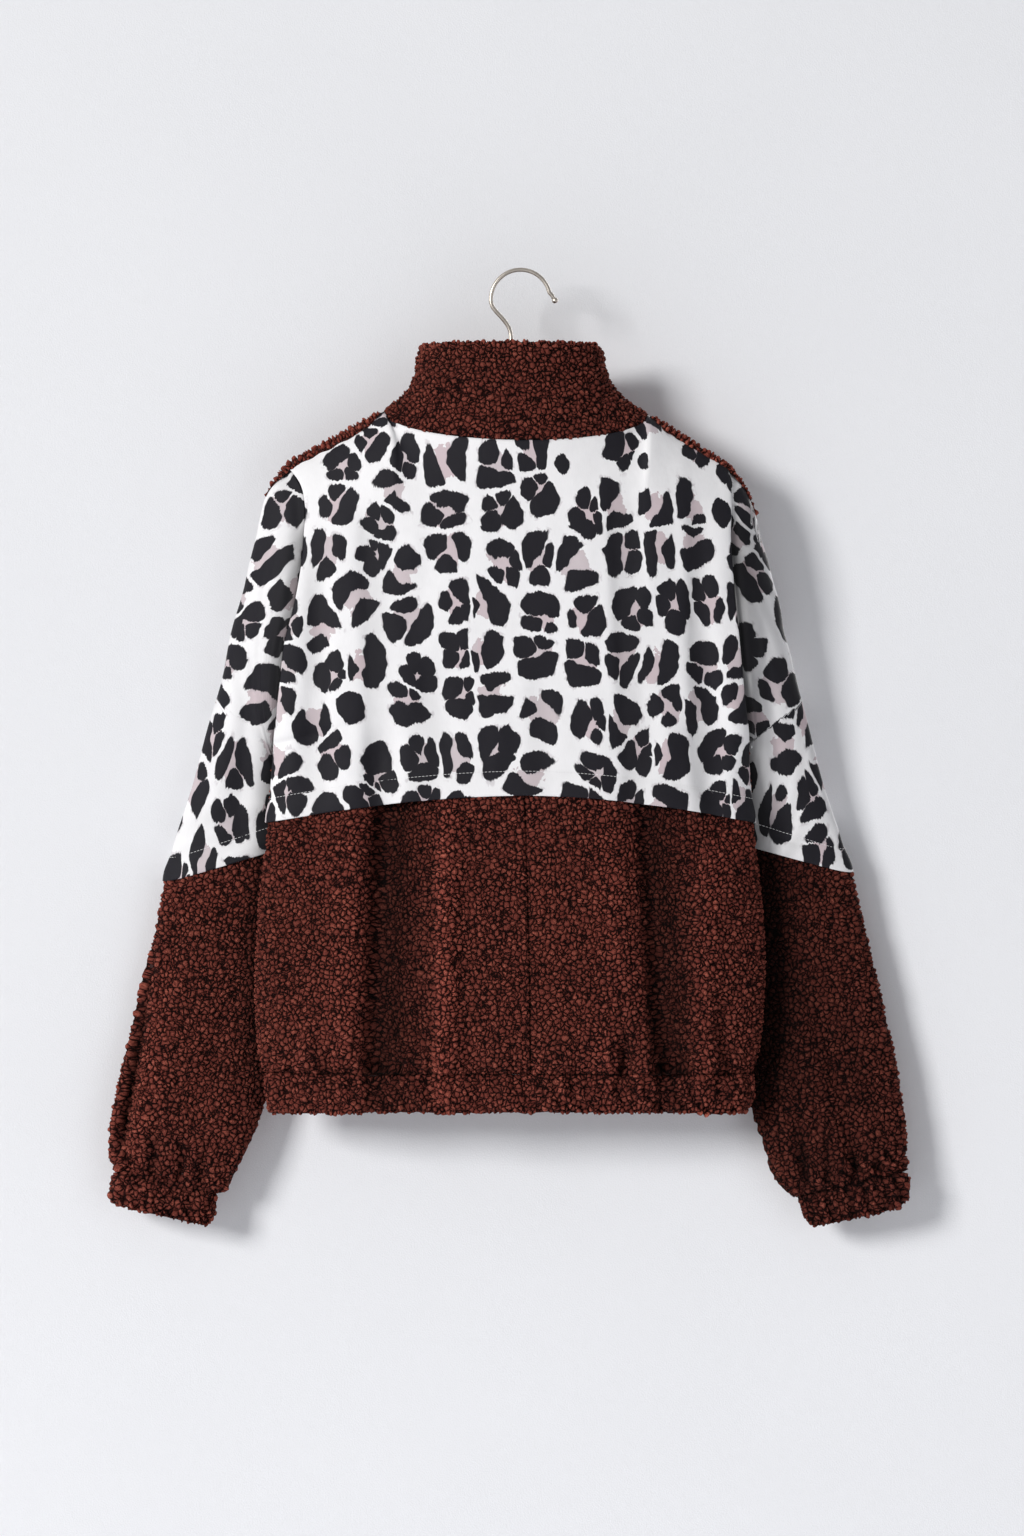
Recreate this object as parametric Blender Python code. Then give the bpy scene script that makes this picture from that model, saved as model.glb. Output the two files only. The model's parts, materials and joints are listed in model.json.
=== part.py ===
"""A cropped fleece zip-up jacket on a plain hanger, its back to the viewer.

Metres, +Z up, -Y towards the viewer. The origin is under the top of the hanger's hook. Tables
are in millimetres: a drop is measured down from the origin, and a reach sideways from the hook's
stem, which hangs a little to the left of the hook's top. Every cloth piece is a wall on one shared
garment surface, so the walls of two neighbours are parallel along their seam.
"""

import math
from collections import namedtuple

import bmesh
import bpy
import numpy as np

MM = 0.001
BACK, FRONT = -1, 1
LEFT, RIGHT = -1, 1

# The hanger's hook, stem and arms.
STEM_X = -8.6
WIRE_RADIUS = 1.65
HOOK_RADIUS = 26.8
HOOK_STEPS = 22
ARM_THICKNESS = 10.0
ARM_HEIGHT = 21.0
ARM_SIDES = 12
ARM_STEPS = 12
ARM_REACH = 186.0
ARM_CLEARANCE = 9.5
ARM_NARROWING = 0.35
ARCH_REACH = 70.0
ARCH_RISE = 8.5
FERRULE_SIDES = 16

# Cloth walls: how far the outside and the inside lie from the garment surface.
SEAM_GAP = 0.3
SHARPEST_MITRE = 0.4
FLEECE = (1.0, -3.0)
COLLAR_FLEECE = (2.0, -3.5)
COLLAR_LIFT = 0.6
CORNER_LIFT = 2.8
CORNER_SPAN = 22.0
WOVEN = (0.6, -0.6)
WOVEN_HEM = (2.9, 1.4)

# The neck and shoulders.
NECK_CENTRE = 4.4
NECK_REACH = 118.9
NECK_SHARE = 0.56
NECK_DROP = {LEFT: 126.5, RIGHT: 130.0}
NECK_SCOOP = {BACK: 27.0, FRONT: 45.0}
NECK_DEPTH = {BACK: 46.0, FRONT: 42.0}
TIP_DROP = 175.5
SHOULDER_ROUND = 80.0
SHOULDER_SQUARE = 12

# The collar's top edge.
COLLAR_TOP_DROP = {BACK: 66.0, FRONT: 88.0}
COLLAR_TOP_DEPTH = {BACK: 42.0, FRONT: 38.0}
COLLAR_LEAN = -3.0

# The armhole, the yoke's hem, and the hem band.
UNDERARM_DROP = 427.0
ARMHOLE_DEPTH = 24.0
HEM_DROP = 473.5
HEM_FALL = 25.0
HEM_POWER = 1.8
WAIST_DROP = 724.0
BAND_END_DROP = 761.0
BAND_RISE = 3.0

# How round the torso's section is: across to the armhole seam, and closed below the underarm.
DOME_POWER = 2.2
DOME_ROOT = {"armhole": 0.85, "closed": 0.5}
CLOSING_DROP = 300.0

# The front zip.
ZIP_X = 4.0
ZIP_HALF_GAP = 7.5
TAPE_HALF_WIDTH = 12.5
TAPE_THICKNESS = 1.0
CHAIN_HALF_WIDTH = 3.0
CHAIN_THICKNESS = 2.4
ZIP_SINK = 6.3
ZIP_STEPS = 30
SHORT_STEP = 2.0
ZIP_TOP_INSET = 3.0
ZIP_END_INSET = 1.0
SLIDER_DROP = 103.0
SLIDER_LENGTH = 13.0
SLIDER_WIDTH = 10.5
SLIDER_THICKNESS = 5.2
SLIDER_BEVEL = 1.1
BRIDGE_LENGTH = 12.0
BRIDGE_WIDTH = 3.2
BRIDGE_RISE = 5.0
BRIDGE_WIRE = 1.5
BRIDGE_ROOT = 1.0
TAB_LENGTH = 34.0
TAB_WIDTH = 9.0
TAB_THICKNESS = 1.6
TAB_EYE_WIDTH = 5.0
TAB_EYE_LENGTH = 8.2
TAB_BAR = 1.7
TAB_BAR_OUT = 2.1
TAB_TURN_STEPS = 8
BOX_HEIGHT = 9.0
BOX_THICKNESS = 3.6

# Turned metal: rings of the ferrule from its foot up, and of the hook's ball from its far end.
Ring = namedtuple("Ring", "rise radius")
FERRULE = (
    Ring(0.0, 7.0),
    Ring(2.5, 7.0),
    Ring(3.0, 5.0),
    Ring(9.0, 3.8),
)
BALL = (
    Ring(5.2, 0.72),
    Ring(4.9, 1.80),
    Ring(4.0, 2.67),
    Ring(2.6, 2.90),
    Ring(1.2, 2.49),
    Ring(0.4, 1.80),
)

# The wire's middle line on either side of the hook's round arc.
WirePoint = namedtuple("WirePoint", "reach drop")
HOOK_END = (WirePoint(38.4, 23.55), WirePoint(36.8, 20.95))
HOOK_ARC = (14.0, 196.0)
HOOK_STEM = (
    WirePoint(-12.6, 36.2),
    WirePoint(-7.7, 41.9),
    WirePoint(-3.2, 47.6),
    WirePoint(-0.8, 53.0),
    WirePoint(0.0, 60.0),
)

Edge = namedtuple("Edge", "drop left right")
EDGES = (
    Edge(175.5, 203.0, 195.0),
    Edge(190.0, 191.5, 198.0),
    Edge(210.0, 186.0, 199.0),
    Edge(240.0, 187.0, 197.5),
    Edge(275.0, 190.5, 200.0),
    Edge(305.0, 196.0, 203.0),
    Edge(335.0, 204.0, 206.0),
    Edge(380.0, 209.0, 210.5),
    Edge(427.0, 215.0, 214.5),
    Edge(460.0, 217.0, 216.5),
    Edge(499.0, 219.5, 218.5),
    Edge(530.0, 223.0, 221.5),
    Edge(565.0, 226.5, 225.5),
    Edge(606.0, 229.5, 228.5),
    Edge(649.0, 231.5, 228.5),
    Edge(682.0, 230.0, 226.0),
    Edge(706.0, 227.0, 222.5),
    Edge(724.0, 222.5, 218.5),
    Edge(740.0, 222.5, 218.5),
    Edge(752.0, 219.5, 215.0),
    Edge(761.0, 214.5, 210.0),
)

Depth = namedtuple("Depth", "drop back front")
DEPTHS = (
    Depth(120.0, 46.0, 42.0),
    Depth(200.0, 46.0, 37.0),
    Depth(300.0, 44.0, 31.0),
    Depth(400.0, 42.0, 28.0),
    Depth(500.0, 42.0, 26.0),
    Depth(600.0, 44.0, 27.0),
    Depth(680.0, 46.0, 29.0),
    Depth(708.0, 43.5, 28.0),
    Depth(724.0, 37.5, 24.5),
    Depth(740.0, 39.0, 26.0),
    Depth(761.0, 34.5, 22.5),
)

Middle = namedtuple("Middle", "drop reach")
BACK_SEAM = (
    Middle(120.0, 4.5),
    Middle(480.0, 11.7),
    Middle(560.0, 14.5),
    Middle(650.0, 17.0),
    Middle(761.0, 17.4),
)

CollarSection = namedtuple("CollarSection", "share left right")
COLLAR_SECTIONS = (
    CollarSection(0.0, 118.9, 118.9),
    CollarSection(0.18, 103.0, 101.5),
    CollarSection(0.38, 92.0, 88.5),
    CollarSection(0.62, 85.5, 81.0),
    CollarSection(0.85, 82.5, 78.5),
    CollarSection(1.0, 79.0, 75.0),
)

# Soft folds of the torso: positive depth is a trough, negative a ridge.
Fold = namedtuple("Fold", "face top_reach top_drop foot_reach foot_drop half_width depth")
FOLDS = (
    Fold(BACK, -113.0, 400.0, -132.0, 740.0, 15.0, 7.5),
    Fold(BACK, -64.0, 520.0, -71.0, 740.0, 17.0, -3.5),
    Fold(BACK, 106.0, 440.0, 137.0, 740.0, 15.0, 6.0),
    Fold(BACK, 97.0, 672.0, 99.0, 740.0, 8.0, 3.5),
    Fold(BACK, 166.0, 560.0, 164.0, 740.0, 18.0, -3.5),
    Fold(BACK, -168.0, 660.0, -160.0, 740.0, 9.0, 3.0),
    Fold(BACK, -172.0, 250.0, -182.0, 520.0, 15.0, 5.0),
    Fold(BACK, 178.0, 270.0, 182.0, 520.0, 14.0, 5.0),
    Fold(FRONT, -92.0, 430.0, -120.0, 740.0, 16.0, 5.0),
    Fold(FRONT, 84.0, 470.0, 116.0, 740.0, 16.0, 5.5),
    Fold(FRONT, -50.0, 600.0, -56.0, 740.0, 14.0, -2.5),
    Fold(FRONT, 52.0, 640.0, 50.0, 740.0, 10.0, 3.0),
)
FOLD_FADE = 45.0

# The elastic's gathers: two waves of uneven length, strongest at the waist seam.
GATHER_WAVES = ((43.0, 0.4, 1.5), (71.0, 1.9, 1.2))
GATHER_SPREAD = 24.0

SleeveRing = namedtuple(
    "SleeveRing", "outer_reach outer_drop inner_reach inner_drop behind half_depth"
)
SLEEVE_RINGS = {
    LEFT: (
        SleeveRing(203.0, 175.5, 215.0, 427.0, 0.0, 24.0),
        SleeveRing(222.0, 205.0, 216.0, 433.0, 5.0, 24.0),
        SleeveRing(233.0, 250.0, 216.0, 439.0, 10.0, 24.0),
        SleeveRing(247.0, 303.0, 214.0, 446.0, 16.0, 23.0),
        SleeveRing(260.5, 358.0, 209.0, 455.0, 22.0, 22.0),
        SleeveRing(276.0, 410.0, 200.0, 466.0, 28.0, 21.0),
        SleeveRing(291.5, 470.0, 187.0, 480.0, 33.0, 20.0),
        SleeveRing(303.5, 520.0, 175.0, 492.0, 35.0, 19.0),
        SleeveRing(309.0, 543.0, 166.0, 503.0, 36.0, 18.5),
        SleeveRing(310.5, 553.0, 162.0, 508.0, 36.0, 18.5),
        SleeveRing(313.0, 568.0, 161.0, 530.0, 36.0, 18.5),
        SleeveRing(319.0, 600.0, 163.0, 565.0, 36.0, 18.5),
        SleeveRing(330.0, 640.0, 170.0, 605.0, 36.0, 19.0),
        SleeveRing(341.0, 688.0, 184.0, 650.0, 35.0, 19.0),
        SleeveRing(352.0, 735.0, 203.0, 697.0, 34.0, 19.0),
        SleeveRing(359.5, 773.0, 219.0, 740.0, 32.0, 19.0),
        SleeveRing(360.0, 797.0, 233.0, 780.0, 30.0, 19.0),
        SleeveRing(356.5, 810.0, 249.0, 812.0, 28.0, 17.0),
        SleeveRing(353.0, 817.0, 264.0, 836.0, 26.0, 12.5),
        SleeveRing(357.0, 832.0, 266.0, 852.0, 26.0, 14.0),
        SleeveRing(355.0, 846.0, 271.0, 866.0, 26.0, 13.0),
    ),
    RIGHT: (
        SleeveRing(195.0, 175.5, 214.5, 427.0, 0.0, 24.0),
        SleeveRing(214.0, 202.0, 216.0, 433.0, 5.0, 24.0),
        SleeveRing(227.0, 242.0, 216.0, 439.0, 10.0, 24.0),
        SleeveRing(240.5, 292.0, 214.0, 446.0, 16.0, 23.0),
        SleeveRing(254.5, 350.0, 209.0, 455.0, 22.0, 22.0),
        SleeveRing(269.0, 408.0, 200.0, 466.0, 28.0, 21.0),
        SleeveRing(285.0, 470.0, 187.0, 480.0, 33.0, 20.0),
        SleeveRing(297.5, 515.0, 175.0, 490.0, 35.0, 19.0),
        SleeveRing(303.0, 535.5, 166.0, 500.0, 36.0, 18.5),
        SleeveRing(305.0, 545.0, 162.0, 505.0, 36.0, 18.5),
        SleeveRing(308.5, 562.0, 161.0, 528.0, 36.0, 18.5),
        SleeveRing(316.5, 597.0, 163.0, 563.0, 36.0, 18.5),
        SleeveRing(327.5, 640.0, 170.0, 605.0, 36.0, 19.0),
        SleeveRing(339.0, 690.0, 184.0, 650.0, 35.0, 19.0),
        SleeveRing(347.5, 735.0, 200.0, 697.0, 34.0, 19.0),
        SleeveRing(353.0, 773.0, 214.0, 740.0, 32.0, 19.0),
        SleeveRing(354.5, 797.0, 227.0, 780.0, 30.0, 19.0),
        SleeveRing(354.0, 810.0, 240.0, 817.0, 28.0, 17.0),
        SleeveRing(353.5, 816.0, 257.0, 839.0, 26.0, 12.5),
        SleeveRing(354.5, 832.0, 262.0, 853.0, 26.0, 14.0),
        SleeveRing(352.0, 848.0, 269.0, 867.0, 26.0, 13.0),
    ),
}
SLEEVE_HEM, SLEEVE_LAP, CUFF_SEAM = 9, 8, 18
ARMHOLE_FADE = 4.0

# Soft folds along the sleeves: from ring to ring, at a share of the width from the outer edge.
SleeveFold = namedtuple("SleeveFold", "hand face first last share half_width depth")
SLEEVE_FOLDS = (
    SleeveFold(LEFT, BACK, 10.5, 18.0, 0.12, 0.07, 4.0),
    SleeveFold(LEFT, BACK, 12.0, 18.0, 0.55, 0.10, 3.0),
    SleeveFold(LEFT, BACK, 2.0, 8.0, 0.45, 0.12, 3.0),
    SleeveFold(RIGHT, BACK, 12.0, 18.0, 0.40, 0.10, 3.0),
    SleeveFold(RIGHT, BACK, 2.0, 8.0, 0.42, 0.12, 3.0),
    SleeveFold(LEFT, FRONT, 10.0, 18.0, 0.35, 0.10, 3.0),
    SleeveFold(RIGHT, FRONT, 10.0, 18.0, 0.45, 0.10, 3.0),
)

# Where the walls have their rows and columns.
NECK_COLUMNS = 9
SHOULDER_COLUMNS = 7
FRONT_NECK_COLUMNS = 6
ARMHOLE_ROWS = 10
YOKE_ROWS = (1.35, 1.66)
LAP_ROW = 1.86
LOWER_ROWS = (2.12, 2.26, 2.40, 2.54, 2.67, 2.79, 2.88, 2.95)
BAND_ROWS = (3.0, 3.12, 3.55, 4.0)
COLLAR_ROWS = (0.0, 0.1, 0.25, 0.45, 0.7, 0.9, 1.0)

BROWN = (0.052, 0.014, 0.011)
PRINT_GROUND = (0.62, 0.60, 0.61)
TAPE_BROWN = (0.035, 0.012, 0.010)
STEEL = (0.62, 0.60, 0.57)
BEECH = (0.55, 0.36, 0.20)


def smooth_curve(at, places, values):
    """A cubic through the table's points, flat beyond its ends."""
    places, values = np.asarray(places, float), np.asarray(values, float)
    slopes = np.gradient(values, places)
    at = np.clip(np.asarray(at, float), places[0], places[-1])
    i = np.clip(np.searchsorted(places, at, side="right") - 1, 0, len(places) - 2)
    span = places[i + 1] - places[i]
    s = (at - places[i]) / span
    rise = s * s * (3 - 2 * s)
    leave = s * (1 - s) ** 2 * span * slopes[i]
    arrive = s * s * (1 - s) * span * slopes[i + 1]
    return values[i] * (1 - rise) + values[i + 1] * rise + leave - arrive


def column_of(table, column):
    return [getattr(row, column) for row in table]


def looked_up(at, table, key, column):
    return smooth_curve(at, column_of(table, key), column_of(table, column))


def eased(share):
    share = np.clip(share, 0.0, 1.0)
    return share * share * (3 - 2 * share)


def edge_drop(down):
    """The drop of the torso's side edge: 0 shoulder tip, 1 underarm, 2 hem, 3 waist, 4 end."""
    in_armhole = (1 - np.cos(np.pi * np.clip(down, 0, 1))) / 2
    hem_edge = HEM_DROP + HEM_FALL
    return (
        TIP_DROP
        + (UNDERARM_DROP - TIP_DROP) * in_armhole
        + (hem_edge - UNDERARM_DROP) * np.clip(down - 1, 0, 1)
        + (WAIST_DROP - hem_edge) * np.clip(down - 2, 0, 1)
        + (BAND_END_DROP - WAIST_DROP) * np.clip(down - 3, 0, 1)
    )


def scoop(across):
    """1 at the middle of the neck and 0 from its corner out, as an ellipse in plan."""
    return np.sqrt(np.clip(1 - (across / NECK_SHARE) ** 2, 0, 1))


def top_drop(face, hand, across):
    """The drop of the torso's top edge: the neck seam, then the shoulder line."""
    corner, other = NECK_DROP[hand], NECK_DROP[-hand]
    in_neck = np.clip(across / NECK_SHARE, 0, 1)
    neck = (corner + other) / 2 + (corner - other) / 2 * in_neck + NECK_SCOOP[face] * scoop(across)
    on_shoulder = np.clip((across - NECK_SHARE) / (1 - NECK_SHARE), 0, 1)
    return neck + (TIP_DROP - corner) * on_shoulder


def hem_drop(face, across):
    power = HEM_POWER if face == BACK else 0.0
    return HEM_DROP + HEM_FALL * across**power


def folds_at(face, reach, drop):
    """How far the torso's folds push the cloth in at each point."""
    depth = np.zeros_like(reach)
    for fold in FOLDS:
        if fold.face != face:
            continue
        share = np.clip((drop - fold.top_drop) / (fold.foot_drop - fold.top_drop), 0, 1)
        middle = fold.top_reach + (fold.foot_reach - fold.top_reach) * share
        window = eased((drop - fold.top_drop) / FOLD_FADE)
        window = window * eased((fold.foot_drop - drop) / (FOLD_FADE / 2))
        depth += fold.depth * window * np.exp(-(((reach - middle) / fold.half_width) ** 2))
    for length, phase, height in GATHER_WAVES:
        window = np.exp(-(((drop - WAIST_DROP) / GATHER_SPREAD) ** 2))
        depth += height * window * np.sin(2 * math.pi * reach / length + phase + face)
    return depth


def torso(face, hand, across, down):
    """Points of the torso: across 0 at the middle to 1 at the edge, down as in edge_drop."""
    across, down = np.broadcast_arrays(np.asarray(across, float), np.asarray(down, float))
    side = edge_drop(down)
    share = np.clip((side - TIP_DROP) / (HEM_DROP + HEM_FALL - TIP_DROP), 0, 1)
    top = top_drop(face, hand, across)
    hem = hem_drop(face, across)
    low = np.clip(down - 2, 0, 1)
    band = np.clip(down - 3, 0, 1)
    drop = top + (hem - top) * share + (WAIST_DROP - hem) * low
    end = BAND_END_DROP - (BAND_RISE * (1 - across**2) if face == BACK else 0)
    drop = drop + (end - WAIST_DROP) * band

    edge = hand * looked_up(side, EDGES, "drop", "left" if hand == LEFT else "right")
    if face == BACK:
        middle = looked_up(side, BACK_SEAM, "drop", "reach")
    else:
        middle = np.full_like(edge, ZIP_X + hand * ZIP_HALF_GAP)
    reach = middle + (edge - middle) * across
    corner = NECK_CENTRE + hand * NECK_REACH
    tip = hand * (EDGES[0].left if hand == LEFT else EDGES[0].right)
    in_neck = np.clip(across / NECK_SHARE, 0, 1)
    on_shoulder = np.clip((across - NECK_SHARE) / (1 - NECK_SHARE), 0, 1)
    at_top = middle + (corner - middle) * in_neck + (tip - corner) * on_shoulder
    straight = middle + (tip - middle) * across
    reach = reach + (at_top - straight) * (1 - share) ** 2

    full = looked_up(drop, DEPTHS, "drop", "back" if face == BACK else "front")
    closing = eased((side - CLOSING_DROP) / (UNDERARM_DROP - CLOSING_DROP))
    root = DOME_ROOT["armhole"] + (DOME_ROOT["closed"] - DOME_ROOT["armhole"]) * closing
    dome = np.clip(1 - across**DOME_POWER, 0, 1) ** root
    open_depth = ARMHOLE_DEPTH * np.sin(np.pi * np.clip(down, 0, 1))
    depth = open_depth + (full - open_depth) * dome
    start = NECK_DEPTH[face] * scoop(across)
    below = np.clip((drop - top) / SHOULDER_ROUND, 0, 1)
    by_neck = eased(2 * scoop(across))
    rounded = np.sqrt(1 - (1 - below) ** 2) * (1 - by_neck) + np.sin(np.pi / 2 * below) * by_neck
    rounded = rounded + (1 - rounded) * across**SHOULDER_SQUARE
    depth = start + (depth - start) * rounded
    depth = depth - folds_at(face, reach, drop) * np.clip(dome * 2, 0, 1)
    return np.stack([reach, face * depth, -drop], axis=-1)


def collar(face, hand, across, up):
    """Points of the collar: across 0 at its middle to 1 at its side, up 0 seam to 1 top edge."""
    across, up = np.broadcast_arrays(np.asarray(across, float), np.asarray(up, float))
    along = across * NECK_SHARE
    seam = torso(face, hand, along, 0.0)
    half = looked_up(up, COLLAR_SECTIONS, "share", "left" if hand == LEFT else "right")
    middle = ZIP_X + hand * ZIP_HALF_GAP if face == FRONT else NECK_CENTRE
    reach = middle + (seam[..., 0] - middle) * half / NECK_REACH + COLLAR_LEAN * up * across
    depth = NECK_DEPTH[face] + (COLLAR_TOP_DEPTH[face] - NECK_DEPTH[face]) * up
    crest = COLLAR_TOP_DROP[BACK] + (COLLAR_TOP_DROP[face] - COLLAR_TOP_DROP[BACK]) * scoop(along)
    drop = -seam[..., 2] + (crest + seam[..., 2]) * up
    return np.stack([reach, face * depth * scoop(along), -drop], axis=-1)


def sleeve(hand, ring, angle):
    """Points of a sleeve: ring as in its table, angle 0 outer, pi inner, by way of the back."""
    ring, angle = np.broadcast_arrays(np.asarray(ring, float), np.asarray(angle, float))
    table = SLEEVE_RINGS[hand]
    places = range(len(table))
    outer_x, outer_z, inner_x, inner_z, behind, half_depth = (
        smooth_curve(ring, places, column_of(table, name)) for name in SleeveRing._fields
    )
    out = (1 + np.cos(angle)) / 2
    reach = hand * (inner_x + (outer_x - inner_x) * out)
    drop = inner_z + (outer_z - inner_z) * out
    depth = behind - half_depth * np.sin(angle)

    down = np.where(angle <= np.pi, angle, 2 * np.pi - angle) / np.pi
    seam = np.where(
        (angle <= np.pi)[..., None], torso(BACK, hand, 1.0, down), torso(FRONT, hand, 1.0, down)
    )
    first = table[0]
    plain_reach = hand * (first.inner_reach + (first.outer_reach - first.inner_reach) * out)
    fade = np.clip(1 - ring / ARMHOLE_FADE, 0, 1) ** 2
    reach = reach + (seam[..., 0] - plain_reach) * fade
    face_of = np.where(angle <= np.pi, BACK, FRONT)
    for fold in SLEEVE_FOLDS:
        if fold.hand != hand:
            continue
        window = eased(ring - fold.first) * eased((fold.last - ring) / 0.6)
        hollow = fold.depth * window * np.exp(-(((1 - out - fold.share) / fold.half_width) ** 2))
        depth = depth - np.where(face_of == fold.face, fold.face * hollow, 0.0)
    return np.stack([reach, depth, -drop], axis=-1)


def torso_columns():
    """Shares across half a torso, close together where the cloth turns."""
    neck = [NECK_SHARE * math.sin(math.pi / 2 * i / NECK_COLUMNS) for i in range(NECK_COLUMNS + 1)]
    width = 1 - NECK_SHARE
    turns = [math.pi / 2 * i / SHOULDER_COLUMNS for i in range(1, SHOULDER_COLUMNS + 1)]
    return np.array(neck + [NECK_SHARE + width * math.sin(turn) for turn in turns])


def front_columns():
    steps = [math.pi / 2 * i / FRONT_NECK_COLUMNS for i in range(FRONT_NECK_COLUMNS + 1)]
    neck = [NECK_SHARE * math.sin(step) for step in steps]
    return np.concatenate([neck, torso_columns()[NECK_COLUMNS + 1 :]])


def armhole_rows():
    return [i / ARMHOLE_ROWS for i in range(ARMHOLE_ROWS + 1)]


def grid(function, face, hand, columns, rows):
    return function(face, hand, np.asarray(columns)[None, :], np.asarray(rows)[:, None])


def back_grid(rows, columns):
    """Both halves of the back in one grid, from left to right."""
    left = grid(torso, BACK, LEFT, columns[::-1], rows)
    right = grid(torso, BACK, RIGHT, columns[1:], rows)
    return np.concatenate([left, right], axis=1)


def round_grid(function, back, front, rows):
    """A strip from zip to zip by way of the back, as seen from outside."""
    pieces = (
        grid(function, FRONT, LEFT, front, rows),
        grid(function, BACK, LEFT, back[::-1], rows)[:, 1:],
        grid(function, BACK, RIGHT, back, rows)[:, 1:],
        grid(function, FRONT, RIGHT, front[::-1], rows)[:, 1:],
    )
    return np.concatenate(pieces, axis=1)


def sleeve_grid(hand, rings):
    """Whole rings of a sleeve, in the order that faces them outwards."""
    angles = np.arange(2 * ARMHOLE_ROWS) * math.pi / ARMHOLE_ROWS
    points = sleeve(hand, np.asarray(rings, float)[:, None], angles[None, :])
    return points if hand == LEFT else points[:, ::-1]


Panel = namedtuple("Panel", "name points closed outside inside material")


def panel(name, points, wall, material, closed=False):
    """A panel whose wall is the same all over, or given row by row."""
    rows = len(points)
    sides = np.array([wall] * rows if isinstance(wall[0], float) else wall)
    return Panel(name, points, closed, sides[:, 0], sides[:, 1], material)


def hem_wall(rows, near):
    """A woven wall whose last rows lie out over the fleece, as a turned hem does."""
    return [WOVEN] * (rows - near) + [WOVEN_HEM] * near


def cloth_panels(fleece, print_cloth):
    columns, fronts = torso_columns(), front_columns()
    upper = armhole_rows()
    yoke = upper + list(YOKE_ROWS) + [LAP_ROW, 2.0]
    lower = [LAP_ROW, 2.0] + list(LOWER_ROWS) + [3.0]
    whole = yoke + lower[2:]
    neck_back = columns[: NECK_COLUMNS + 1] / NECK_SHARE
    neck_front = fronts[: FRONT_NECK_COLUMNS + 1] / NECK_SHARE
    panels = [
        panel("back_yoke", back_grid(yoke, columns), hem_wall(len(yoke), 2), print_cloth),
        panel("lower_back_left", grid(torso, BACK, LEFT, columns[::-1], lower), FLEECE, fleece),
        panel("lower_back_right", grid(torso, BACK, RIGHT, columns, lower), FLEECE, fleece),
        panel("front_left", grid(torso, FRONT, LEFT, fronts, whole), FLEECE, fleece),
        panel("front_right", grid(torso, FRONT, RIGHT, fronts[::-1], whole), FLEECE, fleece),
        panel("waistband", round_grid(torso, columns, fronts, BAND_ROWS), FLEECE, fleece),
    ]
    neck = round_grid(collar, neck_back, neck_front, COLLAR_ROWS[::-1])
    panels.append(panel("collar", neck, COLLAR_FLEECE, fleece))
    for hand, word in ((LEFT, "left"), (RIGHT, "right")):
        top = sleeve_grid(hand, range(SLEEVE_HEM + 1))
        low = sleeve_grid(hand, range(SLEEVE_LAP, CUFF_SEAM + 1))
        cuff = sleeve_grid(hand, range(CUFF_SEAM, len(SLEEVE_RINGS[hand])))
        wall = hem_wall(SLEEVE_HEM + 1, 2)
        panels.append(panel("upper_sleeve_" + word, top, wall, print_cloth, closed=True))
        panels.append(panel("lower_sleeve_" + word, low, FLEECE, fleece, closed=True))
        panels.append(panel("cuff_" + word, cuff, FLEECE, fleece, closed=True))
    return panels


def place_of(point):
    return tuple(np.round(point, 3))


def shared_normals(panels):
    """One outward direction for each place on the garment, whichever panels meet there."""
    totals = {}
    for one in panels:
        rows, columns = one.points.shape[:2]
        for r in range(rows - 1):
            for c in range(columns if one.closed else columns - 1):
                after = (c + 1) % columns
                corners = [one.points[r, c], one.points[r + 1, c]]
                corners += [one.points[r + 1, after], one.points[r, after]]
                area = np.cross(corners[2] - corners[0], corners[3] - corners[1])
                for corner in corners:
                    place = place_of(corner)
                    totals[place] = totals.get(place, 0) + area
    return {place: total / np.linalg.norm(total) for place, total in totals.items()}


def unit(vectors):
    return vectors / np.linalg.norm(vectors, axis=-1, keepdims=True)


def drawn_in(edge, inner, looped):
    """An edge moved in over its cloth by half of a seam's gap, square to both runs at each point."""
    if looped:
        ahead = unit(np.roll(edge, -1, axis=0) - edge)
        behind = np.roll(ahead, 1, axis=0)
    else:
        runs = unit(np.diff(edge, axis=0))
        ahead = np.concatenate([runs, runs[-1:]])
        behind = np.concatenate([runs[:1], runs])
    along = inner - edge
    first, second = (
        unit(along - run * np.sum(along * run, axis=-1, keepdims=True)) for run in (ahead, behind)
    )
    middle = unit(first + second)
    reach = np.clip(np.sum(middle * first, axis=-1, keepdims=True), SHARPEST_MITRE, 1.0)
    return edge + middle / reach * SEAM_GAP / 2


def seam_shrunk(one):
    """The panel's points with each open edge drawn in by half of a seam's gap.

    A panel that turns over the shoulder is drawn in twice there, since its normals turn as well.
    """
    points = one.points.copy()
    for _ in range(2 if one.name in ("back_yoke", "front_left", "front_right") else 1):
        points[0] = drawn_in(points[0], one.points[1], one.closed)
    points[-1] = drawn_in(points[-1], one.points[-2], one.closed)
    if not one.closed:
        points[:, 0] = drawn_in(points[:, 0], points[:, 1], False)
        points[:, -1] = drawn_in(points[:, -1], points[:, -2], False)
    return points


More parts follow.
